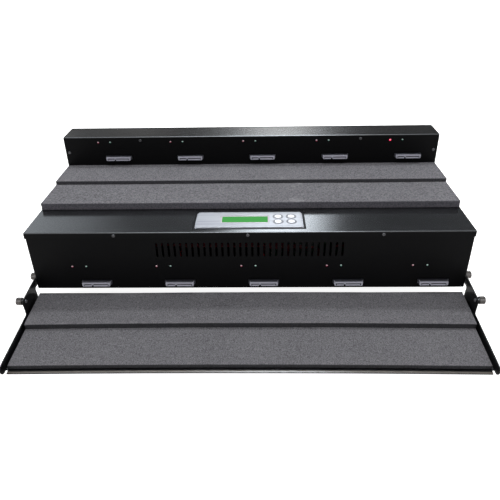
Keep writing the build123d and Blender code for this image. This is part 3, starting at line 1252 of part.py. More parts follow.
def port_cables():
    """One cable from a plug on the controller board to the back of each port board."""
    high = cable_height()
    back = PORT_STANDOFF + BOARD_THICKNESS
    fronts = port_places(FRONT_PORT_X)
    board = PAN_FRONT + SHEET + back
    drop = board + CABLE_BEND + CABLE_RADIUS
    level = FRONT_SOCKET_Z + CABLE_RISE
    cables = [cable(run + [(x, drop, high), (x, drop, level), (x, board, level)])
              for x, run in zip(fronts, plug_runs(-1, fronts))]
    rears = port_places(REAR_PORT_X)
    board = TOWER_INSIDE + back
    rise = cable_slot_y()
    level = REAR_SOCKET_RISE
    return cables + [cable(run + [(x, rise, high), (x, rise, level), (x, board, level)])
                     for x, run in zip(rears, plug_runs(1, rears))]


def save(node, *pieces):
    """Write one node's solids in the finished object's frame."""
    solids = [ORIGIN * solid for piece in pieces for solid in piece.solids()]
    shape = solids[0] if len(solids) == 1 else Compound(children=solids)
    export_step(shape, f"parts/{node}.step")


def main():
    """Build every node and write its file."""
    os.makedirs("parts", exist_ok=True)
    save("base_pan", base_pan())
    save("top_cover", top_cover())
    save("tower_shell", tower_shell())
    save("tower_ends", tower_end(), mirrored(tower_end()))
    save("tower_braces", tower_brace(-TOWER_SCREW_X), tower_brace(TOWER_SCREW_X))
    save("tower_back", tower_back())
    save("rear_panel", rear_panel())
    save("case_screws", *case_screws())
    save("foot_legs", *[foot_leg(x, y) for x, y in foot_places()])
    save("foot_pads", *[foot_pad(x, y) for x, y in foot_places()])
    save("foot_screws", *[foot_screw(x, y) for x, y in foot_places()])
    save("rear_foam_lower", rear_foam_lower())
    save("rear_foam_upper", rear_foam_upper())
    save("control_bezel", control_bezel())
    save("lcd_window", lcd_window())
    save("lcd_module", lcd_module())
    save("keypad_board", keypad_board())
    save("keypad_switches", *[keypad_switch(x, y) for x, y in button_places()])
    for number, (x, y) in enumerate(button_places(), start=1):
        save(f"menu_button_{number}", menu_button(x, y))
    save("controller_board", controller_board())
    save("controller_chips", *controller_chips())
    save("controller_heatsink", controller_heatsink())
    save("board_standoffs", *board_standoffs())
    save("board_screws", *board_screws())
    save("port_boards", *[port_board(*place) for place in banks()])
    save("sata_sockets", *[sata_socket(*place) for place in banks()])
    save("red_leds", *lamps(RED_LAMP_OFFSET))
    save("green_leds", *lamps(RED_LAMP_OFFSET + LAMP_SPACING))
    save("power_supply_case", supply_case())
    save("power_supply_board", supply_board())
    save("supply_terminals", supply_terminals())
    save("power_inlet", power_inlet())
    save("inlet_pins", *pins())
    save("power_rocker", power_rocker())
    save("fuse_drawer", fuse_drawer())
    save("fan_frames", *[fan_frame(x) for x in FAN_X])
    save("fan_rotor_left", fan_rotor(FAN_X[0]))
    save("fan_rotor_right", fan_rotor(FAN_X[1]))
    save("fan_guards", *[fan_guard(x) for x in FAN_X])
    save("fan_screws", *fan_screws())
    save("tray_pan", tray_pan())
    save("tray_foam_lower", tray_foam_lower())
    save("tray_foam_upper", tray_foam_upper())
    save("arm_end_studs", arm_end_stud(), mirrored(arm_end_stud()))
    save("pivot_nuts", pivot_nut(), mirrored(pivot_nut()))
    save("pivot_washers", *pivot_washers(), *[mirrored(washer) for washer in pivot_washers()])
    save("pivot_screw_right", pivot_screw())
    save("pivot_screw_left", mirrored(pivot_screw()))
    save("pivot_knob_right", pivot_knob())
    save("pivot_knob_left", mirrored(pivot_knob()))
    save("lock_screw_right", lock_screw())
    save("lock_screw_left", mirrored(lock_screw()))
    save("lock_knob_right", lock_knob())
    save("lock_knob_left", mirrored(lock_knob()))
    save("port_cables", *port_cables())


main()
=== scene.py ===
"""Hard drive duplicator: finishes, foam beds, panel details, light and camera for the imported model."""
from __future__ import annotations

import json
import logging
import math
from dataclasses import dataclass, field
from enum import Enum
from typing import Any, Sequence, Union

import bmesh
import bpy
from mathutils import Matrix, Vector, noise


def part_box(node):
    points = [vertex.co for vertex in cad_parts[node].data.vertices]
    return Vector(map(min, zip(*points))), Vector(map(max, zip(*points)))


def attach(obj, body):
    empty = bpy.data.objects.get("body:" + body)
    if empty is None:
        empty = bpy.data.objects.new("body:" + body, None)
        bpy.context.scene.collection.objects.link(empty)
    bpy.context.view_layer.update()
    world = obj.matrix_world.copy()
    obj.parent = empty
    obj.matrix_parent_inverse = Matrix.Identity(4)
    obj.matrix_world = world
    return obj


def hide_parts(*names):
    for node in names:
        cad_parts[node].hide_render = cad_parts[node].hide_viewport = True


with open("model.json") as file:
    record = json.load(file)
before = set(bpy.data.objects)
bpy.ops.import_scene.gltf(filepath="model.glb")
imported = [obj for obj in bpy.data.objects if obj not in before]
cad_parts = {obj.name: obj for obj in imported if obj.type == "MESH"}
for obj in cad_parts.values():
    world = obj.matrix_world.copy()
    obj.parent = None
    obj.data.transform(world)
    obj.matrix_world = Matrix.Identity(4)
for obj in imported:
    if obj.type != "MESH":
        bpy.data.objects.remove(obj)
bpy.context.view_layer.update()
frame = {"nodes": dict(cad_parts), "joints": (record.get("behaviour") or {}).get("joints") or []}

MM = 0.001
log = logging.getLogger("duplicator")

Colour = tuple[float, float, float]
Value = Union["Wire", float]


class Wire:
    """One shader value, so that shader maths is written as Python expressions."""

    def __init__(self, graph: "Graph", socket: bpy.types.NodeSocket) -> None:
        """Keep the socket and the graph that it belongs to.

        Args:
            graph: The graph that new nodes go into.
            socket: The output socket that this value comes from.
        """
        self.graph = graph
        self.socket = socket

    def _maths(self, operation: str, *values: Value) -> "Wire":
        """Add one Math node on the given values and return its result."""
        return self.graph.node("ShaderNodeMath", {"operation": operation}, dict(enumerate(values)))

    def __add__(self, other: Value) -> "Wire":
        """Add."""
        return self._maths("ADD", self, other)

    __radd__ = __add__

    def __sub__(self, other: Value) -> "Wire":
        """Take away."""
        return self._maths("SUBTRACT", self, other)

    def __rsub__(self, other: Value) -> "Wire":
        """Be taken away from a number."""
        return self._maths("SUBTRACT", other, self)

    def __mul__(self, other: Value) -> "Wire":
        """Multiply."""
        return self._maths("MULTIPLY", self, other)

    __rmul__ = __mul__

    def __truediv__(self, other: Value) -> "Wire":
        """Divide."""
        return self._maths("DIVIDE", self, other)

    def __gt__(self, other: Value) -> "Wire":
        """Be one where this value is the greater, and nothing elsewhere."""
        return self._maths("GREATER_THAN", self, other)

    def __lt__(self, other: Value) -> "Wire":
        """Be one where this value is the smaller, and nothing elsewhere."""
        return self._maths("LESS_THAN", self, other)

    def __abs__(self) -> "Wire":
        """Drop the sign."""
        return self._maths("ABSOLUTE", self)

    def ramp(self, low: float, high: float) -> "Wire":
        """Rise smoothly from nothing at one value to one at another.

        Args:
            low: The value that gives nothing.
            high: The value that gives one.

        Returns:
            The eased share of the way from low to high.
        """
        settings = {"interpolation_type": "SMOOTHSTEP"}
        return self.graph.node("ShaderNodeMapRange", settings, {0: self, 1: low, 2: high, 3: 0.0, 4: 1.0})


class Graph:
    """A material's node graph, with one method that adds any node."""

    def __init__(self, name: str) -> None:
        """Start an empty material.

        Args:
            name: The material's name.
        """
        self.material = bpy.data.materials.new(name)
        self.material.use_nodes = True
        self.tree = self.material.node_tree
        self.tree.nodes.clear()

    def node(self, kind: str, settings: dict[str, Any], inputs: dict[Any, Any], output: Any = 0) -> Wire:
        """Add a node, set it up and connect it.

        Args:
            kind: Blender's name for the node's type.
            settings: The node's own options, set first. The key "stops" holds a ramp's stops.
            inputs: A value or a wire for each socket, by name or by number.
            output: The name or number of the output that is wanted.

        Returns:
            The wanted output as a wire.
        """
        made = self.tree.nodes.new(kind)
        for key, value in settings.items():
            if key == "stops":
                self._set_stops(made.color_ramp, value)
            else:
                setattr(made, key, value)
        for key, value in inputs.items():
            if isinstance(value, Wire):
                self.tree.links.new(value.socket, made.inputs[key])
            else:
                made.inputs[key].default_value = value
        return Wire(self, made.outputs[output])

    @staticmethod
    def _set_stops(ramp: bpy.types.ColorRamp, stops: Sequence[tuple[float, float]]) -> None:
        """Give a ramp grey stops.

        Args:
            ramp: The ramp to change.
            stops: Place and brightness of each stop, in order.
        """
        while len(ramp.elements) < len(stops):
            ramp.elements.new(1.0)
        for element, (place, level) in zip(ramp.elements, stops):
            element.position = place
            element.color = (level, level, level, 1.0)

    def place(self) -> tuple[Wire, Wire, Wire, Wire]:
        """Give the object's own coordinates: the whole vector, then x, y and z, in metres."""
        vector = self.node("ShaderNodeTexCoord", {}, {}, "Object")
        split = self.node("ShaderNodeSeparateXYZ", {}, {0: vector}).socket.node
        return (vector, *[Wire(self, split.outputs[axis]) for axis in "XYZ"])

    def facing(self) -> tuple[Wire, Wire, Wire]:
        """Give the surface's direction in the object's own axes: x, y and z."""
        normal = self.node("ShaderNodeTexCoord", {}, {}, "Normal")
        split = self.node("ShaderNodeSeparateXYZ", {}, {0: normal}).socket.node
        return tuple(Wire(self, split.outputs[axis]) for axis in "XYZ")

    def grain(self, scale: float, detail: float = 2.0, stretch: Vector | None = None) -> Wire:
        """Give soft noise about one half.

        Args:
            scale: Lumps per metre.
            detail: How many finer layers are added.
            stretch: How much each axis is scaled before the noise is read.

        Returns:
            The noise, from nothing to one.
        """
        vector = self.place()[0]
        if stretch is not None:
            vector = self.node("ShaderNodeVectorMath", {"operation": "MULTIPLY"}, {0: vector, 1: stretch})
        return self.node("ShaderNodeTexNoise", {}, {"Vector": vector, "Scale": scale, "Detail": detail})

    def cells(self, scale: float) -> Wire:
        """Give the distance to the nearest of scattered points.

        Args:
            scale: Points per metre.

        Returns:
            The distance, in cells.
        """
        return self.node("ShaderNodeTexVoronoi", {}, {"Vector": self.place()[0], "Scale": scale})

    def blend(self, share: Value, first: Any, second: Any) -> Wire:
        """Mix two colours.

        Args:
            share: How much of the second colour shows.
            first: A colour or a wire.
            second: A colour or a wire.

        Returns:
            The mixed colour.
        """
        def whole(colour: Any) -> Any:
            """Give a plain colour its alpha."""
            return colour if isinstance(colour, Wire) else (*colour, 1.0)

        inputs = {0: share, 6: whole(first), 7: whole(second)}
        return self.node("ShaderNodeMix", {"data_type": "RGBA"}, inputs, 2)

    def bump(self, height: Wire, depth: float, strength: float = 1.0) -> Wire:
        """Turn a height into a surface normal.

        Args:
            height: The height, in steps of the depth.
            depth: The depth of one step, in metres.
            strength: How much of the bump shows.

        Returns:
            The normal.
        """
        inputs = {"Height": height, "Distance": depth, "Strength": strength}
        return self.node("ShaderNodeBump", {}, inputs, "Normal")

    def finish(self, **inputs: Any) -> bpy.types.Material:
        """Close the graph with one shader.

        Args:
            inputs: The shader's sockets by name, with spaces written as underscores.

        Returns:
            The finished material.
        """
        named = {key.replace("_", " "): value for key, value in inputs.items()}
        shader = self.node("ShaderNodeBsdfPrincipled", {}, named, "BSDF")
        self.node_output(shader)
        return self.material

    def node_output(self, shader: Wire) -> None:
        """Send a shader to the material's output."""
        output = self.tree.nodes.new("ShaderNodeOutputMaterial")
        self.tree.links.new(shader.socket, output.inputs["Surface"])


@dataclass(frozen=True)
class PowderCoat:
    """Black powder coat: glossy where it lies flat, duller upright, with a fine orange-peel skin.

    A paler brown strip is laid on flat places in front of one line, where the tray's foam stops short.
    """

    name: str
    colour: Colour = (0.0034, 0.0034, 0.0038)
    dusty: Colour = (0.014, 0.014, 0.016)
    roughness: float = 0.4
    gloss: float = 1.0
    upright_gloss: float = 0.3
    coat_roughness: float = 0.17
    peel: float = 620.0
    peel_depth: float = 0.00003
    grit: float = 2300.0
    strip_front: float | None = None
    strip_half: float = 0.3012
    strip_colour: Colour = (0.105, 0.092, 0.078)
    # Painted shade: the coat is taken off in a band of the width below round this box, so a dark line shows.
    gap_shade_box: tuple[Vector, Vector] | None = None
    gap_shade_width: float = 0.0017

    def material(self) -> bpy.types.Material:
        """Build the finish."""
        g = Graph(self.name)
        _, x, y, _ = g.place()
        _, towards, up = g.facing()
        flat = up.ramp(0.25, 0.7)
        smear = g.grain(9.0, 4.0, Vector((1.0, 2.5, 2.5)))
        fine = g.grain(self.grit, 1.0)
        speck = g.grain(480.0, 2.0)
        height = g.grain(self.peel, 2.0) + 0.35 * fine
        rough = self.roughness + 0.16 * (smear - 0.45) + 0.05 * (fine - 0.5)
        dust = (g.grain(420.0, 3.0) - 0.62).ramp(0.0, 0.2) * 0.25
        colour = g.blend(dust, self.colour, self.dusty)
        # A paler brown strip on flat places in front of the line.
        if self.strip_front is not None:
            strip = (y < self.strip_front) * (abs(x) < self.strip_half) * flat
            colour = g.blend(strip * (0.55 + 0.6 * g.grain(90.0, 2.0)), colour, self.strip_colour)
        front = (0 - towards).ramp(0.4, 0.8)
        sheen = flat + (1 - flat) * (1 - front) * self.upright_gloss
        # Painted shade: with no coat in a band round the control panel's cut-out, the cover shows a dark line
        # there.
        if self.gap_shade_box is not None:
            middle, half = (self.gap_shade_box[0] + self.gap_shade_box[1]) / 2, (self.gap_shade_box[1] - self.gap_shade_box[0]) / 2
            inside = abs(x - middle.x) < half.x + self.gap_shade_width
            sheen = sheen * (1 - inside * (abs(y - middle.y) < half.y + self.gap_shade_width))
        coat = sheen * self.gloss * (0.78 + 0.9 * (speck - 0.5) + 0.3 * smear)
        return g.finish(Base_Color=colour, Roughness=rough, Specular_IOR_Level=0.045, Coat_Weight=coat,
                        Coat_Roughness=self.coat_roughness, Normal=g.bump(height, self.peel_depth))


@dataclass(frozen=True)
class CellFoam:
    """Closed-cell foam sheet: a speckled skin above, darker sides and pale rub marks. The sides' darker
    colour is partly the cut foam's own tone and partly painted shade.
    """

    name: str
    skin: Colour = (0.19, 0.187, 0.2)
    pit: Colour = (0.075, 0.073, 0.08)
    cut_and_shade: Colour = (0.062, 0.062, 0.068)
    rub: Colour = (0.42, 0.41, 0.43)
    rubs: float = 0.0
    grain: float = 760.0
    contrast: float = 3.1

    def material(self) -> bpy.types.Material:
        """Build the finish."""
        g = Graph(self.name)
        # Upright faces take the darker side colour: partly the cut foam's own tone, partly painted shade.
        side = 1 - g.facing()[2].ramp(0.35, 0.8)
        speck = g.grain(self.grain, 3.0)
        coarse = g.grain(210.0, 2.0)
        cloud = g.grain(12.0, 3.0)
        pores = g.cells(700.0)
        tone = (speck - 0.5) * self.contrast + (coarse - 0.5) * 0.5 + (cloud - 0.5) * 0.3 + 0.5
        top = g.blend(tone, self.pit, self.skin)
        if self.rubs > 0.0:
            streak = g.grain(60.0, 2.0, Vector((0.6, 1.0, 1.0))).ramp(0.66, 0.74)
            where = g.grain(5.0, 1.0).ramp(0.5, 0.7)
            top = g.blend(streak * where * self.rubs, top, self.rub)
        shade = tuple(0.6 * channel for channel in self.cut_and_shade)
        colour = g.blend(side, top, g.blend(speck.ramp(0.3, 0.7), shade, self.cut_and_shade))
        height = speck * 0.6 + pores.ramp(0.0, 0.55) * 0.4
        rough = 0.86 + 0.1 * speck
        return g.finish(Base_Color=colour, Roughness=rough, Specular_IOR_Level=0.08,
                        Normal=g.bump(height, 0.00018, 0.8))


@dataclass(frozen=True)
class Steel:
    """Plated steel, turned or rolled, with fine lines and slight stains."""

    name: str
    colour: Colour = (0.52, 0.52, 0.53)
    roughness: float = 0.34
    lines: float = 1500.0
    along: Vector = field(default_factory=lambda: Vector((1.0, 0.08, 0.08)))
    depth: float = 0.000012

    def material(self) -> bpy.types.Material:
        """Build the finish."""
        g = Graph(self.name)
        brushed = g.grain(self.lines, 2.0, self.along)
        stain = g.grain(160.0, 3.0)
        darker = tuple(0.6 * channel for channel in self.colour)
        colour = g.blend(stain.ramp(0.3, 0.7) * 0.8 + 0.2 * brushed, darker, self.colour)
        rough = self.roughness + 0.18 * (stain - 0.5) + 0.1 * (brushed - 0.5)
        return g.finish(Base_Color=colour, Roughness=rough, Metallic=1.0, Normal=g.bump(brushed, self.depth))


@dataclass(frozen=True)
class Moulding:
    """Moulded plastic or rubber with a spark-eroded grain."""

    name: str
    colour: Colour
    roughness: float = 0.45
    grain: float = 1600.0
    depth: float = 0.00002
    vary: float = 0.18

    def material(self) -> bpy.types.Material:
        """Build the finish."""
        g = Graph(self.name)
        spark = g.grain(self.grain, 2.0)
        cloud = g.grain(70.0, 3.0)
        darker = tuple((1 - self.vary) * channel for channel in self.colour)
        lighter = tuple((1 + self.vary) * channel for channel in self.colour)
        colour = g.blend(cloud.ramp(0.25, 0.75), darker, lighter)
        rough = self.roughness + 0.14 * (cloud - 0.5) + 0.06 * (spark - 0.5)
        return g.finish(Base_Color=colour, Roughness=rough, Normal=g.bump(spark, self.depth))


@dataclass(frozen=True)
class Board:
    """A circuit board: solder mask with darker tracks and small bright pads."""

    name: str
    mask: Colour = (0.012, 0.09, 0.035)
    track: Colour = (0.02, 0.16, 0.06)
    pad: Colour = (0.6, 0.58, 0.5)

    def material(self) -> bpy.types.Material:
        """Build the finish."""
        g = Graph(self.name)
        lanes = g.grain(260.0, 0.0, Vector((1.0, 0.2, 1.0))).ramp(0.48, 0.52)
        pads = (g.cells(170.0) < 0.16) * 1.0
        colour = g.blend(pads, g.blend(lanes, self.mask, self.track), self.pad)
        rough = 0.32 + 0.1 * g.grain(90.0, 2.0)
        return g.finish(Base_Color=colour, Roughness=rough, Normal=g.bump(lanes + pads, 0.00003))


@dataclass(frozen=True)
class SocketPlastic:
    """Lavender moulded plastic in two banks, with painted shade: the upper face darkens towards the case and
    the shoulder next to the case is coloured dark.
    """

    name: str
    front_face: float
    tower_face: float
    proud: float = 0.007
    colour: Colour = (0.5, 0.5, 0.58)
    # Painted shade: the upper face runs from this colour at the case to the paler top colour further out.
    shade: Colour = (0.012, 0.012, 0.015)
    top_front_tone: Colour = (0.12, 0.12, 0.14)
    painted_shoulder_shade: Colour = (0.05, 0.05, 0.062)

    def material(self) -> bpy.types.Material:
        """Build the finish."""
        g = Graph(self.name)
        _, _, y, _ = g.place()
        _, _, up = g.facing()
        tower = y > (self.front_face + self.tower_face) / 2
        face = self.front_face + tower * (self.tower_face - self.front_face)
        reach = (face - y) / self.proud
        # Painted shade on the upper face, darkest next to the case.
        top = g.blend(reach.ramp(0.25, 1.2), self.shade, self.top_front_tone)
        cloud = g.grain(70.0, 3.0)
        plain = g.blend(cloud.ramp(0.25, 0.75), tuple(0.85 * channel for channel in self.colour), self.colour)
        # Painted shade: the shoulder next to the case takes a dark colour.
        plain = g.blend(reach.ramp(0.27, 0.45), self.painted_shoulder_shade, plain)
        colour = g.blend(up.ramp(0.5, 0.9), plain, top)
        rough = 0.42 + 0.12 * (cloud - 0.5)
        return g.finish(Base_Color=colour, Roughness=rough, Specular_IOR_Level=0.2,
                        Normal=g.bump(g.grain(1600.0, 2.0), 0.00002))


@dataclass(frozen=True)
class Lamp:
    """A round indicator lamp of tinted resin with a painted highlight, the crown colour where it faces up,
    and a lit place where one is on.
    """

    name: str
    colour: Colour
    crown: Colour
    lit_from_x: float = 9.0
    lit_from_y: float = 9.0
    glow: Colour = (1.0, 0.04, 0.12)

    def material(self) -> bpy.types.Material:
        """Build the finish."""
        g = Graph(self.name)
        _, x, y, _ = g.place()
        swirl = g.grain(900.0, 2.0)
        # Painted highlight: the faces that look up take the pale crown colour.
        up = g.facing()[2].ramp(-0.1, 0.75)
        colour = g.blend(up, self.colour, self.crown)
        lit = (x > self.lit_from_x) * (y > self.lit_from_y)
        light = g.blend(lit, (0.0, 0.0, 0.0), self.glow)
        return g.finish(Base_Color=colour, Roughness=0.2 + 0.05 * swirl, Coat_Weight=0.6 + 0.1 * swirl,
                        Coat_Roughness=0.04, Emission_Color=light, Emission_Strength=1.6)


@dataclass(frozen=True)
class PanelFilm:
    """The control panel's silver film: streaks run across it, and a dark ring of painted shade lies round
    each button.
    """

    name: str
    buttons: tuple[tuple[Vector, Vector], ...]
    colour: Colour = (0.33, 0.34, 0.37)
    streak: Colour = (0.2, 0.21, 0.24)
    # Painted shade in the gap round each menu button.
    ring: Colour = (0.07, 0.07, 0.08)
    button_shade_width: float = 0.0014
    roughness: float = 0.36

    def material(self) -> bpy.types.Material:
        """Build the finish."""
        g = Graph(self.name)
        brushed = g.grain(2400.0, 2.0, Vector((0.03, 1.0, 1.0)))
        bands = g.grain(330.0, 1.0, Vector((0.012, 1.0, 1.0))).ramp(0.52, 0.68)
        colour = g.blend(bands * 0.55 + 0.2 * brushed, self.colour, self.streak)
        _, x, y, _ = g.place()
        # Painted shade: a dark ring round each button stands for the shade in its gap.
        for low, high in self.buttons:
            middle, reach = (low + high) / 2, (high.x - low.x) / 2 + self.button_shade_width
            across, along = x - middle.x, y - middle.y
            in_button_shade = across * across + along * along < reach * reach
            colour = g.blend(in_button_shade, colour, self.ring)
        rough = self.roughness + 0.1 * (brushed - 0.5) + 0.12 * bands
        return g.finish(Base_Color=colour, Roughness=rough, Metallic=0.08, Normal=g.bump(brushed, 0.000004))


@dataclass(frozen=True)
class Screen:
    """The lit display behind its window: flat green, with a pale pink painted highlight on the window's
    bevelled border.
    """

    name: str
    middle_x: float
    middle_y: float
    half_x: float
    half_y: float
    green: Colour = (0.068, 0.355, 0.077)
    bevel_highlight: Colour = (0.62, 0.55, 0.62)

    def material(self) -> bpy.types.Material:
        """Build the finish."""
        g = Graph(self.name)
        _, x, y, _ = g.place()
        inside = (abs(x - self.middle_x) < self.half_x) * (abs(y - self.middle_y) < self.half_y)
        grain = g.grain(1500.0, 1.0)
        lit = g.blend(grain, tuple(0.9 * c for c in self.green), self.green)
        # Painted highlight: outside the lit area, the window's bevelled border takes a pale pink colour.
        colour = g.blend(inside, self.bevel_highlight, (0.005, 0.02, 0.006))
        light = g.blend(inside, (0.0, 0.0, 0.0), lit)
        return g.finish(Base_Color=colour, Roughness=0.4 + 0.05 * grain, Specular_IOR_Level=0.01,
                        Emission_Color=light, Emission_Strength=1.0)


@dataclass(frozen=True)
class SheetFoam:
    """One cut sheet of foam, made as a closed form with soft top edges and sides that pull in.

    The sheet lies between a back and a front line. Along is the distance forwards, drop is downwards.
    """

    name: str
    node: str
    body: str
    half: float
    back: float
    front: float
    bottom: float
    top: float
    crown: float = 0.0
    crown_half: float = 0.3
    ragged: float = 0.12 * MM
    sag: float = 0.28 * MM
    sag_margin: float = 6.0 * MM
    columns: int = 150
    rows: int = 34
    seed: float = 0.0

    def crown_rise(self, x: float) -> float:
        """Give the tray's upward bow at a place across it.

        Args:
            x: The place, in metres from the middle.

        Returns:
            The rise over the line through the arms.
        """
        if self.crown == 0.0:
            return 0.0
        radius = (self.crown_half ** 2 + self.crown ** 2) / (2 * self.crown)
        return self.crown - radius + math.sqrt(radius ** 2 - x ** 2)

    def profile(self) -> list[tuple[float, float]]:
        """Give the side's section as pairs of pull-in and height share, from the foot to the top."""
        return [(0.25, 0.0), (0.05, 0.08), (0.2, 0.3), (0.26, 0.52), (0.16, 0.76), (0.05, 0.93),
                (0.22, 0.985), (0.6, 1.0)]

    def build(self, place: Matrix) -> bpy.types.Object:
        """Make the sheet's mesh.

        Args:
            place: Where the sheet's own zero, ahead and up lie in the row's frame.

        Returns:
            The new object.
        """
        mesh = bmesh.new()
        across = [-self.half + 2 * self.half * i / self.columns for i in range(self.columns + 1)]
        ahead = [self.back + (self.front - self.back) * j / self.rows for j in range(self.rows + 1)]
        middle = Vector((0.0, (self.back + self.front) / 2))

        def point(i: int, j: int, pull: float, share: float) -> Vector:
            """Place one corner of the mesh.

            Args:
                i: The column.
                j: The row.
                pull: How far the sides pull in here, in millimetres.
                share: The height, from nothing at the foot to one at the top.

            Returns:
                The corner in the sheet's own axes.
            """
            x, t = across[i], ahead[j]
            edge_x = (i == self.columns) - (i == 0)
            edge_t = (j == self.rows) - (j == 0)
            wander = self.ragged * noise.noise(Vector((x * 60 + self.seed, t * 60, 0.3)))
            x -= edge_x * (pull * MM + wander)
            t -= edge_t * (pull * MM + wander)
            height = self.bottom + (self.top - self.bottom) * share + self.crown_rise(x)
            if share == 1.0:
                edge = min(self.half - abs(x), t - self.back, self.front - t)
                swell = noise.noise(Vector((x * 11 + self.seed, t * 17, 1.7))) - 0.55
                height += self.sag * min(1.0, edge / self.sag_margin) * swell
            return Vector((x, t - middle.y, height))

        rim = [(i, 0) for i in range(self.columns)] + [(self.columns, j) for j in range(self.rows)]
        rim += [(i, self.rows) for i in range(self.columns, 0, -1)]
        rim += [(0, j) for j in range(self.rows, 0, -1)]
        rings = [[mesh.verts.new(point(i, j, pull, share)) for i, j in rim] for pull, share in self.profile()]
        for lower, upper in zip(rings, rings[1:]):
            for k in range(len(rim)):
                after = (k + 1) % len(rim)
                mesh.faces.new((lower[k], lower[after], upper[after], upper[k]))
        for ring, (pull, share) in ((rings[0], self.profile()[0]), (rings[-1], self.profile()[-1])):
            edge = dict(zip(rim, ring))
            grid = {}
            for i in range(self.columns + 1):
                for j in range(self.rows + 1):
                    grid[i, j] = edge.get((i, j)) or mesh.verts.new(point(i, j, pull, share))
            for i in range(self.columns):
                for j in range(self.rows):
                    mesh.faces.new((grid[i, j], grid[i + 1, j], grid[i + 1, j + 1], grid[i, j + 1]))
        bmesh.ops.recalc_face_normals(mesh, faces=mesh.faces)
        data = bpy.data.meshes.new(self.name)
        turn = Matrix(((1, 0, 0, 0), (0, -1, 0, -middle.y), (0, 0, 1, 0), (0, 0, 0, 1)))
        mesh.transform(place @ turn)
        bmesh.ops.recalc_face_normals(mesh, faces=mesh.faces)
        mesh.to_mesh(data)
        mesh.free()
        for face in data.polygons:
            face.use_smooth = True
        made = bpy.data.objects.new(self.name, data)
        bpy.context.scene.collection.objects.link(made)
        return made

    def install(self, place: Matrix, material: bpy.types.Material) -> bpy.types.Object:
        """Make the sheet, dress it and put it in the place of its CAD node.

        Args:
            place: Where the sheet's own axes lie.
            material: Its finish.

        Returns:
            The new object.
        """
        made = self.build(place)
        made.data.materials.append(material)
        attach(made, self.body)
        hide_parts(self.node)
        log.info("foam sheet %s", self.name)
        return made


class RearBed:
    """The two foam sheets on the cover, in front of the tower."""

    def build(self, zero: Vector) -> None:
        """Make both sheets in the boxes of their CAD nodes.

        Args:
            zero: The middle of the cover's top front edge.
        """
        place = Matrix.Translation(zero)
        # Painted light: the rear sheets' skin is a lighter copy of the tray foam's skin, for the brighter
        # light on the rear bed.
        skin = (0.208, 0.205, 0.22)
        # Each sheet's side colour holds the cut foam's own tone and painted shade.
        for name, node, rows, seed, cut_and_shade, rubs in (
                ("rear_bed_lower_sheet", "rear_foam_lower", 34, 3.1, (0.135, 0.13, 0.15), 0.9),
                ("rear_bed_upper_sheet", "rear_foam_upper", 22, 8.4, (0.066, 0.066, 0.073), 0.4)):
            foam = CellFoam(name.replace("_", " "), skin=skin, cut_and_shade=cut_and_shade, rubs=rubs, grain=520.0,
                            contrast=2.6).material()
            low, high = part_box(node)
            SheetFoam(name, node, "chassis", high.x, zero.y - high.y, zero.y - low.y, low.z - zero.z,
                      high.z - zero.z, rows=rows, seed=seed).install(place, foam)


@dataclass(frozen=True)
class TrayBed:
    """The two foam sheets on the tilted tray, in the tray's own measures."""

    tilt: float = 6.0
    back: float = 0.019
    step: float = 0.0814
    front: float = 0.1458
    floor_drop: float = 0.0317
    lower: float = 0.0061
    upper: float = 0.008
    crown: float = 0.0029
    sheet: float = 0.0015
    shaded: float = 0.004

    def hinge(self) -> Vector:
        """Give the hinge's place in the row's frame."""
        joint = next(joint for joint in frame["joints"] if joint["name"] == "tray_hinge")
        return Vector(joint["pos_m"])

    def strip_front_y(self) -> float:
        """Give the line in front of which the tray's floor takes a paler brown strip, clear of the foam's
        shade.
        """
        tilt = math.radians(self.tilt)
        foam = self.hinge().y - self.front * math.cos(tilt) + self.floor_drop * math.sin(tilt)
        return foam - self.shaded

    def build(self) -> None:
        """Make both sheets on the tray's hinge."""
        place = Matrix.Translation(self.hinge()) @ Matrix.Rotation(math.radians(self.tilt), 4, "X")
        foam = CellFoam("tray foam").material()
        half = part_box("tray_foam_lower")[1].x
        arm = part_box("tray_pan")[1].x - self.sheet
        middle = -self.floor_drop + self.lower
        SheetFoam("tray_bed_lower_sheet", "tray_foam_lower", "tray", half, self.back, self.front,
                  -self.floor_drop, middle, self.crown, arm, seed=5.5).install(place, foam)
        SheetFoam("tray_bed_upper_sheet", "tray_foam_upper", "tray", half, self.back, self.step,
                  middle, middle + self.upper, self.crown, arm, rows=22, seed=1.2).install(place, foam)


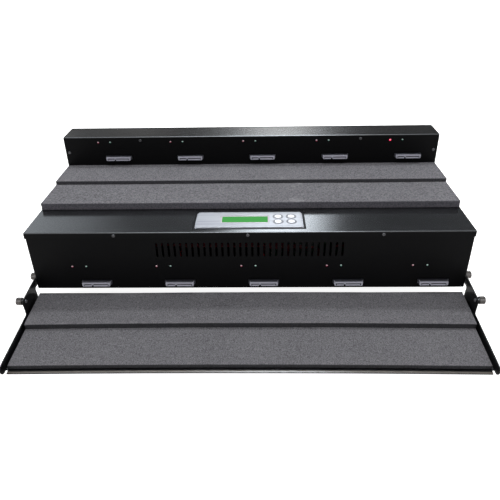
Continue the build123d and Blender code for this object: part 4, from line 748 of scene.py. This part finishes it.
@dataclass(frozen=True)
class Casework:
    """Everything that stays as the CAD model has it, and gets its finish here."""

    screen_x: float = -0.0046
    screen_y: float = 0.0367
    screen_half_x: float = 0.0316
    screen_half_y: float = 0.0087
    lit_lamp_x: float = 0.19
    lit_lamp_reach: float = 0.02

    def finishes(self, zero: Vector) -> dict[str, bpy.types.Material]:
        """Make one finish for each kind of surface.

        Args:
            zero: The middle of the cover's top front edge.

        Returns:
            The finishes by name.
        """
        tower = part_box("tower_shell")[0]
        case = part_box("base_pan")[0]
        return {
            "coat": PowderCoat("gloss powder coat").material(),
            # The cover takes a band of painted shade round the control panel's cut-out.
            "cover": PowderCoat("cover powder coat", gap_shade_box=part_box("control_bezel")).material(),
            "tray": PowderCoat("tray powder coat", gloss=0.5, strip_front=TrayBed().strip_front_y()).material(),
            "screw": Steel("black screw steel", colour=(0.09, 0.09, 0.095), roughness=0.4).material(),
            "zinc": Steel("zinc screw steel", colour=(0.3, 0.3, 0.31)).material(),
            "knurl": Steel("knurled steel", colour=(0.12, 0.11, 0.105), roughness=0.3).material(),
            "wire": Steel("bright wire", colour=(0.6, 0.6, 0.62), roughness=0.18).material(),
            "sink": Steel("extruded aluminium", colour=(0.42, 0.43, 0.44), roughness=0.42).material(),
            "brass": Steel("turned brass", colour=(0.62, 0.45, 0.18), roughness=0.3).material(),
            "socket": SocketPlastic("lavender socket plastic", case.y, tower.y).material(),
            "black": Moulding("black plastic", (0.02, 0.02, 0.021), 0.42).material(),
            "rubber": Moulding("black rubber", (0.018, 0.018, 0.018), 0.8, grain=700.0,
                               depth=0.00006).material(),
            "button": Moulding("silver button", (0.62, 0.62, 0.66), 0.28, vary=0.06).material(),
            "cable": Moulding("red cable jacket", (0.2, 0.012, 0.02), 0.4).material(),
            "board": Board("circuit board").material(),
            # Each lamp's second colour is the painted highlight on its upward faces.
            "red": Lamp("red lamp", (0.3, 0.012, 0.05), (0.7, 0.5, 0.55), self.lit_lamp_x,
                        tower.y - self.lit_lamp_reach).material(),
            "green": Lamp("green lamp", (0.012, 0.1, 0.07), (0.5, 0.68, 0.62)).material(),
            "panel": PanelFilm("silver panel film", self.button_boxes()).material(),
            "screen": Screen("lit display", zero.x + self.screen_x, zero.y + self.screen_y,
                             self.screen_half_x, self.screen_half_y).material(),
        }

    def button_boxes(self) -> tuple[tuple[Vector, Vector], ...]:
        """Give the corners of the menu buttons' boxes."""
        return tuple(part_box(f"menu_button_{number}") for number in range(1, 5))

    def nodes(self) -> dict[str, list[str]]:
        """Give the CAD nodes that take each finish."""
        buttons = [f"menu_button_{number}" for number in range(1, 5)]
        knobs = [f"{kind}_knob_{side}" for kind in ("pivot", "lock") for side in ("left", "right")]
        shanks = [f"{kind}_screw_{side}" for kind in ("pivot", "lock") for side in ("left", "right")]
        rotors = ["fan_rotor_left", "fan_rotor_right"]
        return {
            "cover": ["top_cover"],
            "coat": ["tower_ends", "base_pan", "tower_shell", "tower_back", "rear_panel"],
            "tray": ["tray_pan"],
            "screw": ["case_screws"],
            "zinc": ["foot_screws", "board_screws", "tower_braces", "power_supply_case", "fan_screws",
                     "arm_end_studs", "pivot_nuts", "pivot_washers", *shanks],
            "knurl": knobs,
            "wire": ["fan_guards", "inlet_pins"],
            "sink": ["controller_heatsink"],
            "brass": ["board_standoffs"],
            "socket": ["sata_sockets"],
            "black": ["foot_legs", "lcd_module", "keypad_switches", "controller_chips", "supply_terminals",
                      "power_inlet", "power_rocker", "fuse_drawer", "fan_frames", *rotors],
            "rubber": ["foot_pads"],
            "button": buttons,
            "cable": ["port_cables"],
            "board": ["keypad_board", "controller_board", "port_boards", "power_supply_board"],
            "red": ["red_leds"],
            "green": ["green_leds"],
            "panel": ["control_bezel"],
            "screen": ["lcd_window"],
        }

    def dress(self, zero: Vector) -> None:
        """Give every kept node its finish.

        Args:
            zero: The middle of the cover's top front edge.
        """
        made = self.finishes(zero)
        for finish, names in self.nodes().items():
            for name in names:
                data = frame["nodes"][name].data
                data.materials.clear()
                data.materials.append(made[finish])
            log.info("finish %s on %d nodes", finish, len(names))


class Glow(Enum):
    """How a studio card shines from left to right, as a ramp of stops across the card."""

    LOW = ((0.0, 0.4), (0.2, 0.1), (0.3, 0.2), (0.38, 0.08), (0.45, 0.2), (0.52, 1.0), (0.56, 1.0),
           (0.62, 0.2), (0.67, 0.05), (1.0, 0.08))
    HIGH = ((0.0, 0.2), (0.15, 0.1), (0.25, 0.02), (0.42, 0.0), (0.5, 1.0), (0.57, 1.0), (0.65, 0.0),
            (1.0, 0.02))
    OVER = ((0.0, 0.12), (0.2, 0.15), (0.33, 0.25), (0.42, 0.5), (0.48, 1.0), (0.6, 1.0), (0.66, 0.4),
            (0.72, 0.15), (1.0, 0.06))


@dataclass(frozen=True)
class Card:
    """A studio card that shows only in reflections. Its edges run level, from side to side.

    The lower and upper edges are given as how far back and how high they hang from the cover's front edge.
    """

    name: str
    lower: tuple[float, float]
    upper: tuple[float, float]
    level: float
    glow: Glow
    half: float = 1.45
    tint: Colour = (0.9, 0.98, 1.06)

    def build(self, zero: Vector) -> None:
        """Hang the card.

        Args:
            zero: The middle of the cover's top front edge.
        """
        edges = ((-1, self.lower), (1, self.lower), (1, self.upper), (-1, self.upper))
        corners = [(side * self.half, zero.y + back, zero.z + high) for side, (back, high) in edges]
        mesh = bpy.data.meshes.new(self.name)
        mesh.from_pydata(corners, [], [(0, 1, 2, 3)])
        card = bpy.data.objects.new(self.name, mesh)
        bpy.context.scene.collection.objects.link(card)
        g = Graph(self.name)
        across = g.place()[1] / (2 * self.half) + 0.5
        ramp = g.node("ShaderNodeValToRGB", {"stops": self.glow.value}, {0: across})
        strength = g.node("ShaderNodeRGBToBW", {}, {0: ramp}) * self.level
        g.node_output(g.node("ShaderNodeEmission", {}, {"Color": (*self.tint, 1.0), "Strength": strength}))
        mesh.materials.append(g.material)
        card.visible_camera = False
        card.visible_diffuse = False
        card.visible_shadow = False
        card.visible_transmission = False


@dataclass(frozen=True)
class Studio:
    """The pale floor, the white surround, the lamps, the cards and the camera."""

    floor_size: float = 14.0
    floor_lift: float = 0.92
    softbox_place: tuple[float, float, float] = (0.0, -0.75, 1.95)
    softbox_size: float = 1.2
    softbox_power: float = 19.0
    spot_place: tuple[float, float, float] = (0.05, 0.6, 2.0)
    spot_size: float = 0.15
    spot_power: float = 15.0
    lamp_target: tuple[float, float, float] = (0.0, 0.0, 0.08)
    card_back: float = 2.0
    card_foot: float = -0.3
    card_split: float = 0.82
    card_top: float = 1.5
    over_start: tuple[float, float] = (1.5, 1.9)
    over_end: tuple[float, float] = (-0.4, 2.2)
    low_tint: Colour = (1.02, 1.0, 0.96)
    camera_place: tuple[float, float, float] = (0.01987, -0.617834, 0.337728)
    lens: float = 38.218
    pitch: float = 30.559
    yaw: float = -1.6
    roll: float = -1.0922

    def floor(self) -> None:
        """Lay the pale floor that keeps the object's shadow."""
        mesh = bpy.data.meshes.new("bench_top")
        half = self.floor_size / 2
        corners = [(-half, -half, 0), (half, -half, 0), (half, half, 0), (-half, half, 0)]
        mesh.from_pydata(corners, [], [(0, 1, 2, 3)])
        bench = bpy.data.objects.new("bench_top", mesh)
        bpy.context.scene.collection.objects.link(bench)
        g = Graph("white bench")
        path = g.node("ShaderNodeLightPath", {}, {}).socket.node
        seen = Wire(g, path.outputs["Is Camera Ray"]) + Wire(g, path.outputs["Is Glossy Ray"])
        seen = (seen + Wire(g, path.outputs["Is Transmission Ray"])) > 0.5
        matt = g.node("ShaderNodeBsdfDiffuse", {}, {"Color": (0.8, 0.8, 0.8, 1.0)})
        glow = {"Color": (1.0, 1.0, 1.0, 1.0), "Strength": seen * self.floor_lift}
        lift = g.node("ShaderNodeEmission", {}, glow)
        g.node_output(g.node("ShaderNodeAddShader", {}, {0: matt, 1: lift}))
        mesh.materials.append(g.material)

    def surround(self) -> None:
        """Make the world white to the eye and in reflections, and softer as a light."""
        world = bpy.data.worlds.new("surround")
        bpy.context.scene.world = world
        world.use_nodes = True
        tree = world.node_tree
        tree.nodes.clear()
        path = tree.nodes.new("ShaderNodeLightPath")
        shades = []
        for strength in (0.4, 1.0):
            shade = tree.nodes.new("ShaderNodeBackground")
            shade.inputs["Color"].default_value = (1.0, 1.0, 1.0, 1.0)
            shade.inputs["Strength"].default_value = strength
            shades.append(shade)
        first = tree.nodes.new("ShaderNodeMath")
        first.operation = "MAXIMUM"
        tree.links.new(path.outputs["Is Camera Ray"], first.inputs[0])
        tree.links.new(path.outputs["Is Glossy Ray"], first.inputs[1])
        second = tree.nodes.new("ShaderNodeMath")
        second.operation = "MAXIMUM"
        tree.links.new(first.outputs[0], second.inputs[0])
        tree.links.new(path.outputs["Is Transmission Ray"], second.inputs[1])
        mix = tree.nodes.new("ShaderNodeMixShader")
        tree.links.new(second.outputs[0], mix.inputs[0])
        tree.links.new(shades[0].outputs[0], mix.inputs[1])
        tree.links.new(shades[1].outputs[0], mix.inputs[2])
        output = tree.nodes.new("ShaderNodeOutputWorld")
        tree.links.new(mix.outputs[0], output.inputs["Surface"])

    def lamp(self, name: str, place: Vector, look: Vector, size: float, power: float, glossy: bool) -> None:
        """Hang one soft square lamp.

        Args:
            name: The lamp's name.
            place: Where it hangs.
            look: The point that it faces.
            size: Its width and height.
            power: Its power in watts.
            glossy: Whether it shows in reflections.
        """
        data = bpy.data.lights.new(name, "AREA")
        data.shape = "SQUARE"
        data.size = size
        data.energy = power
        lamp = bpy.data.objects.new(name, data)
        bpy.context.scene.collection.objects.link(lamp)
        lamp.location = place
        lamp.rotation_mode = "QUATERNION"
        lamp.rotation_quaternion = (look - place).to_track_quat("-Z", "Y")
        lamp.visible_glossy = glossy

    def camera(self, zero: Vector) -> None:
        """Stand the camera where the photograph was taken.

        Args:
            zero: The middle of the cover's top front edge.
        """
        data = bpy.data.cameras.new("photo_camera")
        data.lens = self.lens
        data.sensor_width = 36.0
        data.clip_start = 0.01
        data.clip_end = 60.0
        camera = bpy.data.objects.new("photo_camera", data)
        bpy.context.scene.collection.objects.link(camera)
        pitch, yaw, roll = (math.radians(angle) for angle in (self.pitch, self.yaw, self.roll))
        ahead = Vector((math.sin(yaw) * math.cos(pitch), math.cos(yaw) * math.cos(pitch), -math.sin(pitch)))
        level = Vector((math.cos(yaw), -math.sin(yaw), 0.0))
        right = level * math.cos(roll) + level.cross(ahead) * math.sin(roll)
        above = right.cross(ahead)
        turn = Matrix((right, above, -ahead)).transposed().to_4x4()
        camera.matrix_world = Matrix.Translation(zero + Vector(self.camera_place)) @ turn
        bpy.context.scene.camera = camera

    def build(self, zero: Vector) -> None:
        """Set up the whole studio.

        Args:
            zero: The middle of the cover's top front edge.
        """
        bpy.context.scene.view_settings.view_transform = "Standard"
        self.floor()
        self.surround()
        target = Vector(self.lamp_target)
        self.lamp("overhead_softbox", Vector(self.softbox_place), target, self.softbox_size,
                  self.softbox_power, False)
        self.lamp("back_spot", Vector(self.spot_place), target, self.spot_size, self.spot_power, False)
        heights = (self.card_foot, self.card_split, self.card_top)
        foot, split, top = ((self.card_back, high) for high in heights)
        Card("low_card", foot, split, 1.3, Glow.LOW, tint=self.low_tint).build(zero)
        Card("high_card", split, top, 10.5, Glow.HIGH).build(zero)
        Card("over_card", self.over_start, self.over_end, 24.0, Glow.OVER).build(zero)
        self.camera(zero)


def main() -> None:
    """Build the scene."""
    logging.basicConfig(level=logging.INFO)
    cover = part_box("top_cover")
    zero = Vector((0.0, cover[0].y, cover[1].z))
    Studio().build(zero)
    Casework().dress(zero)
    RearBed().build(zero)
    TrayBed().build()


if __name__ == "__main__":
    main()
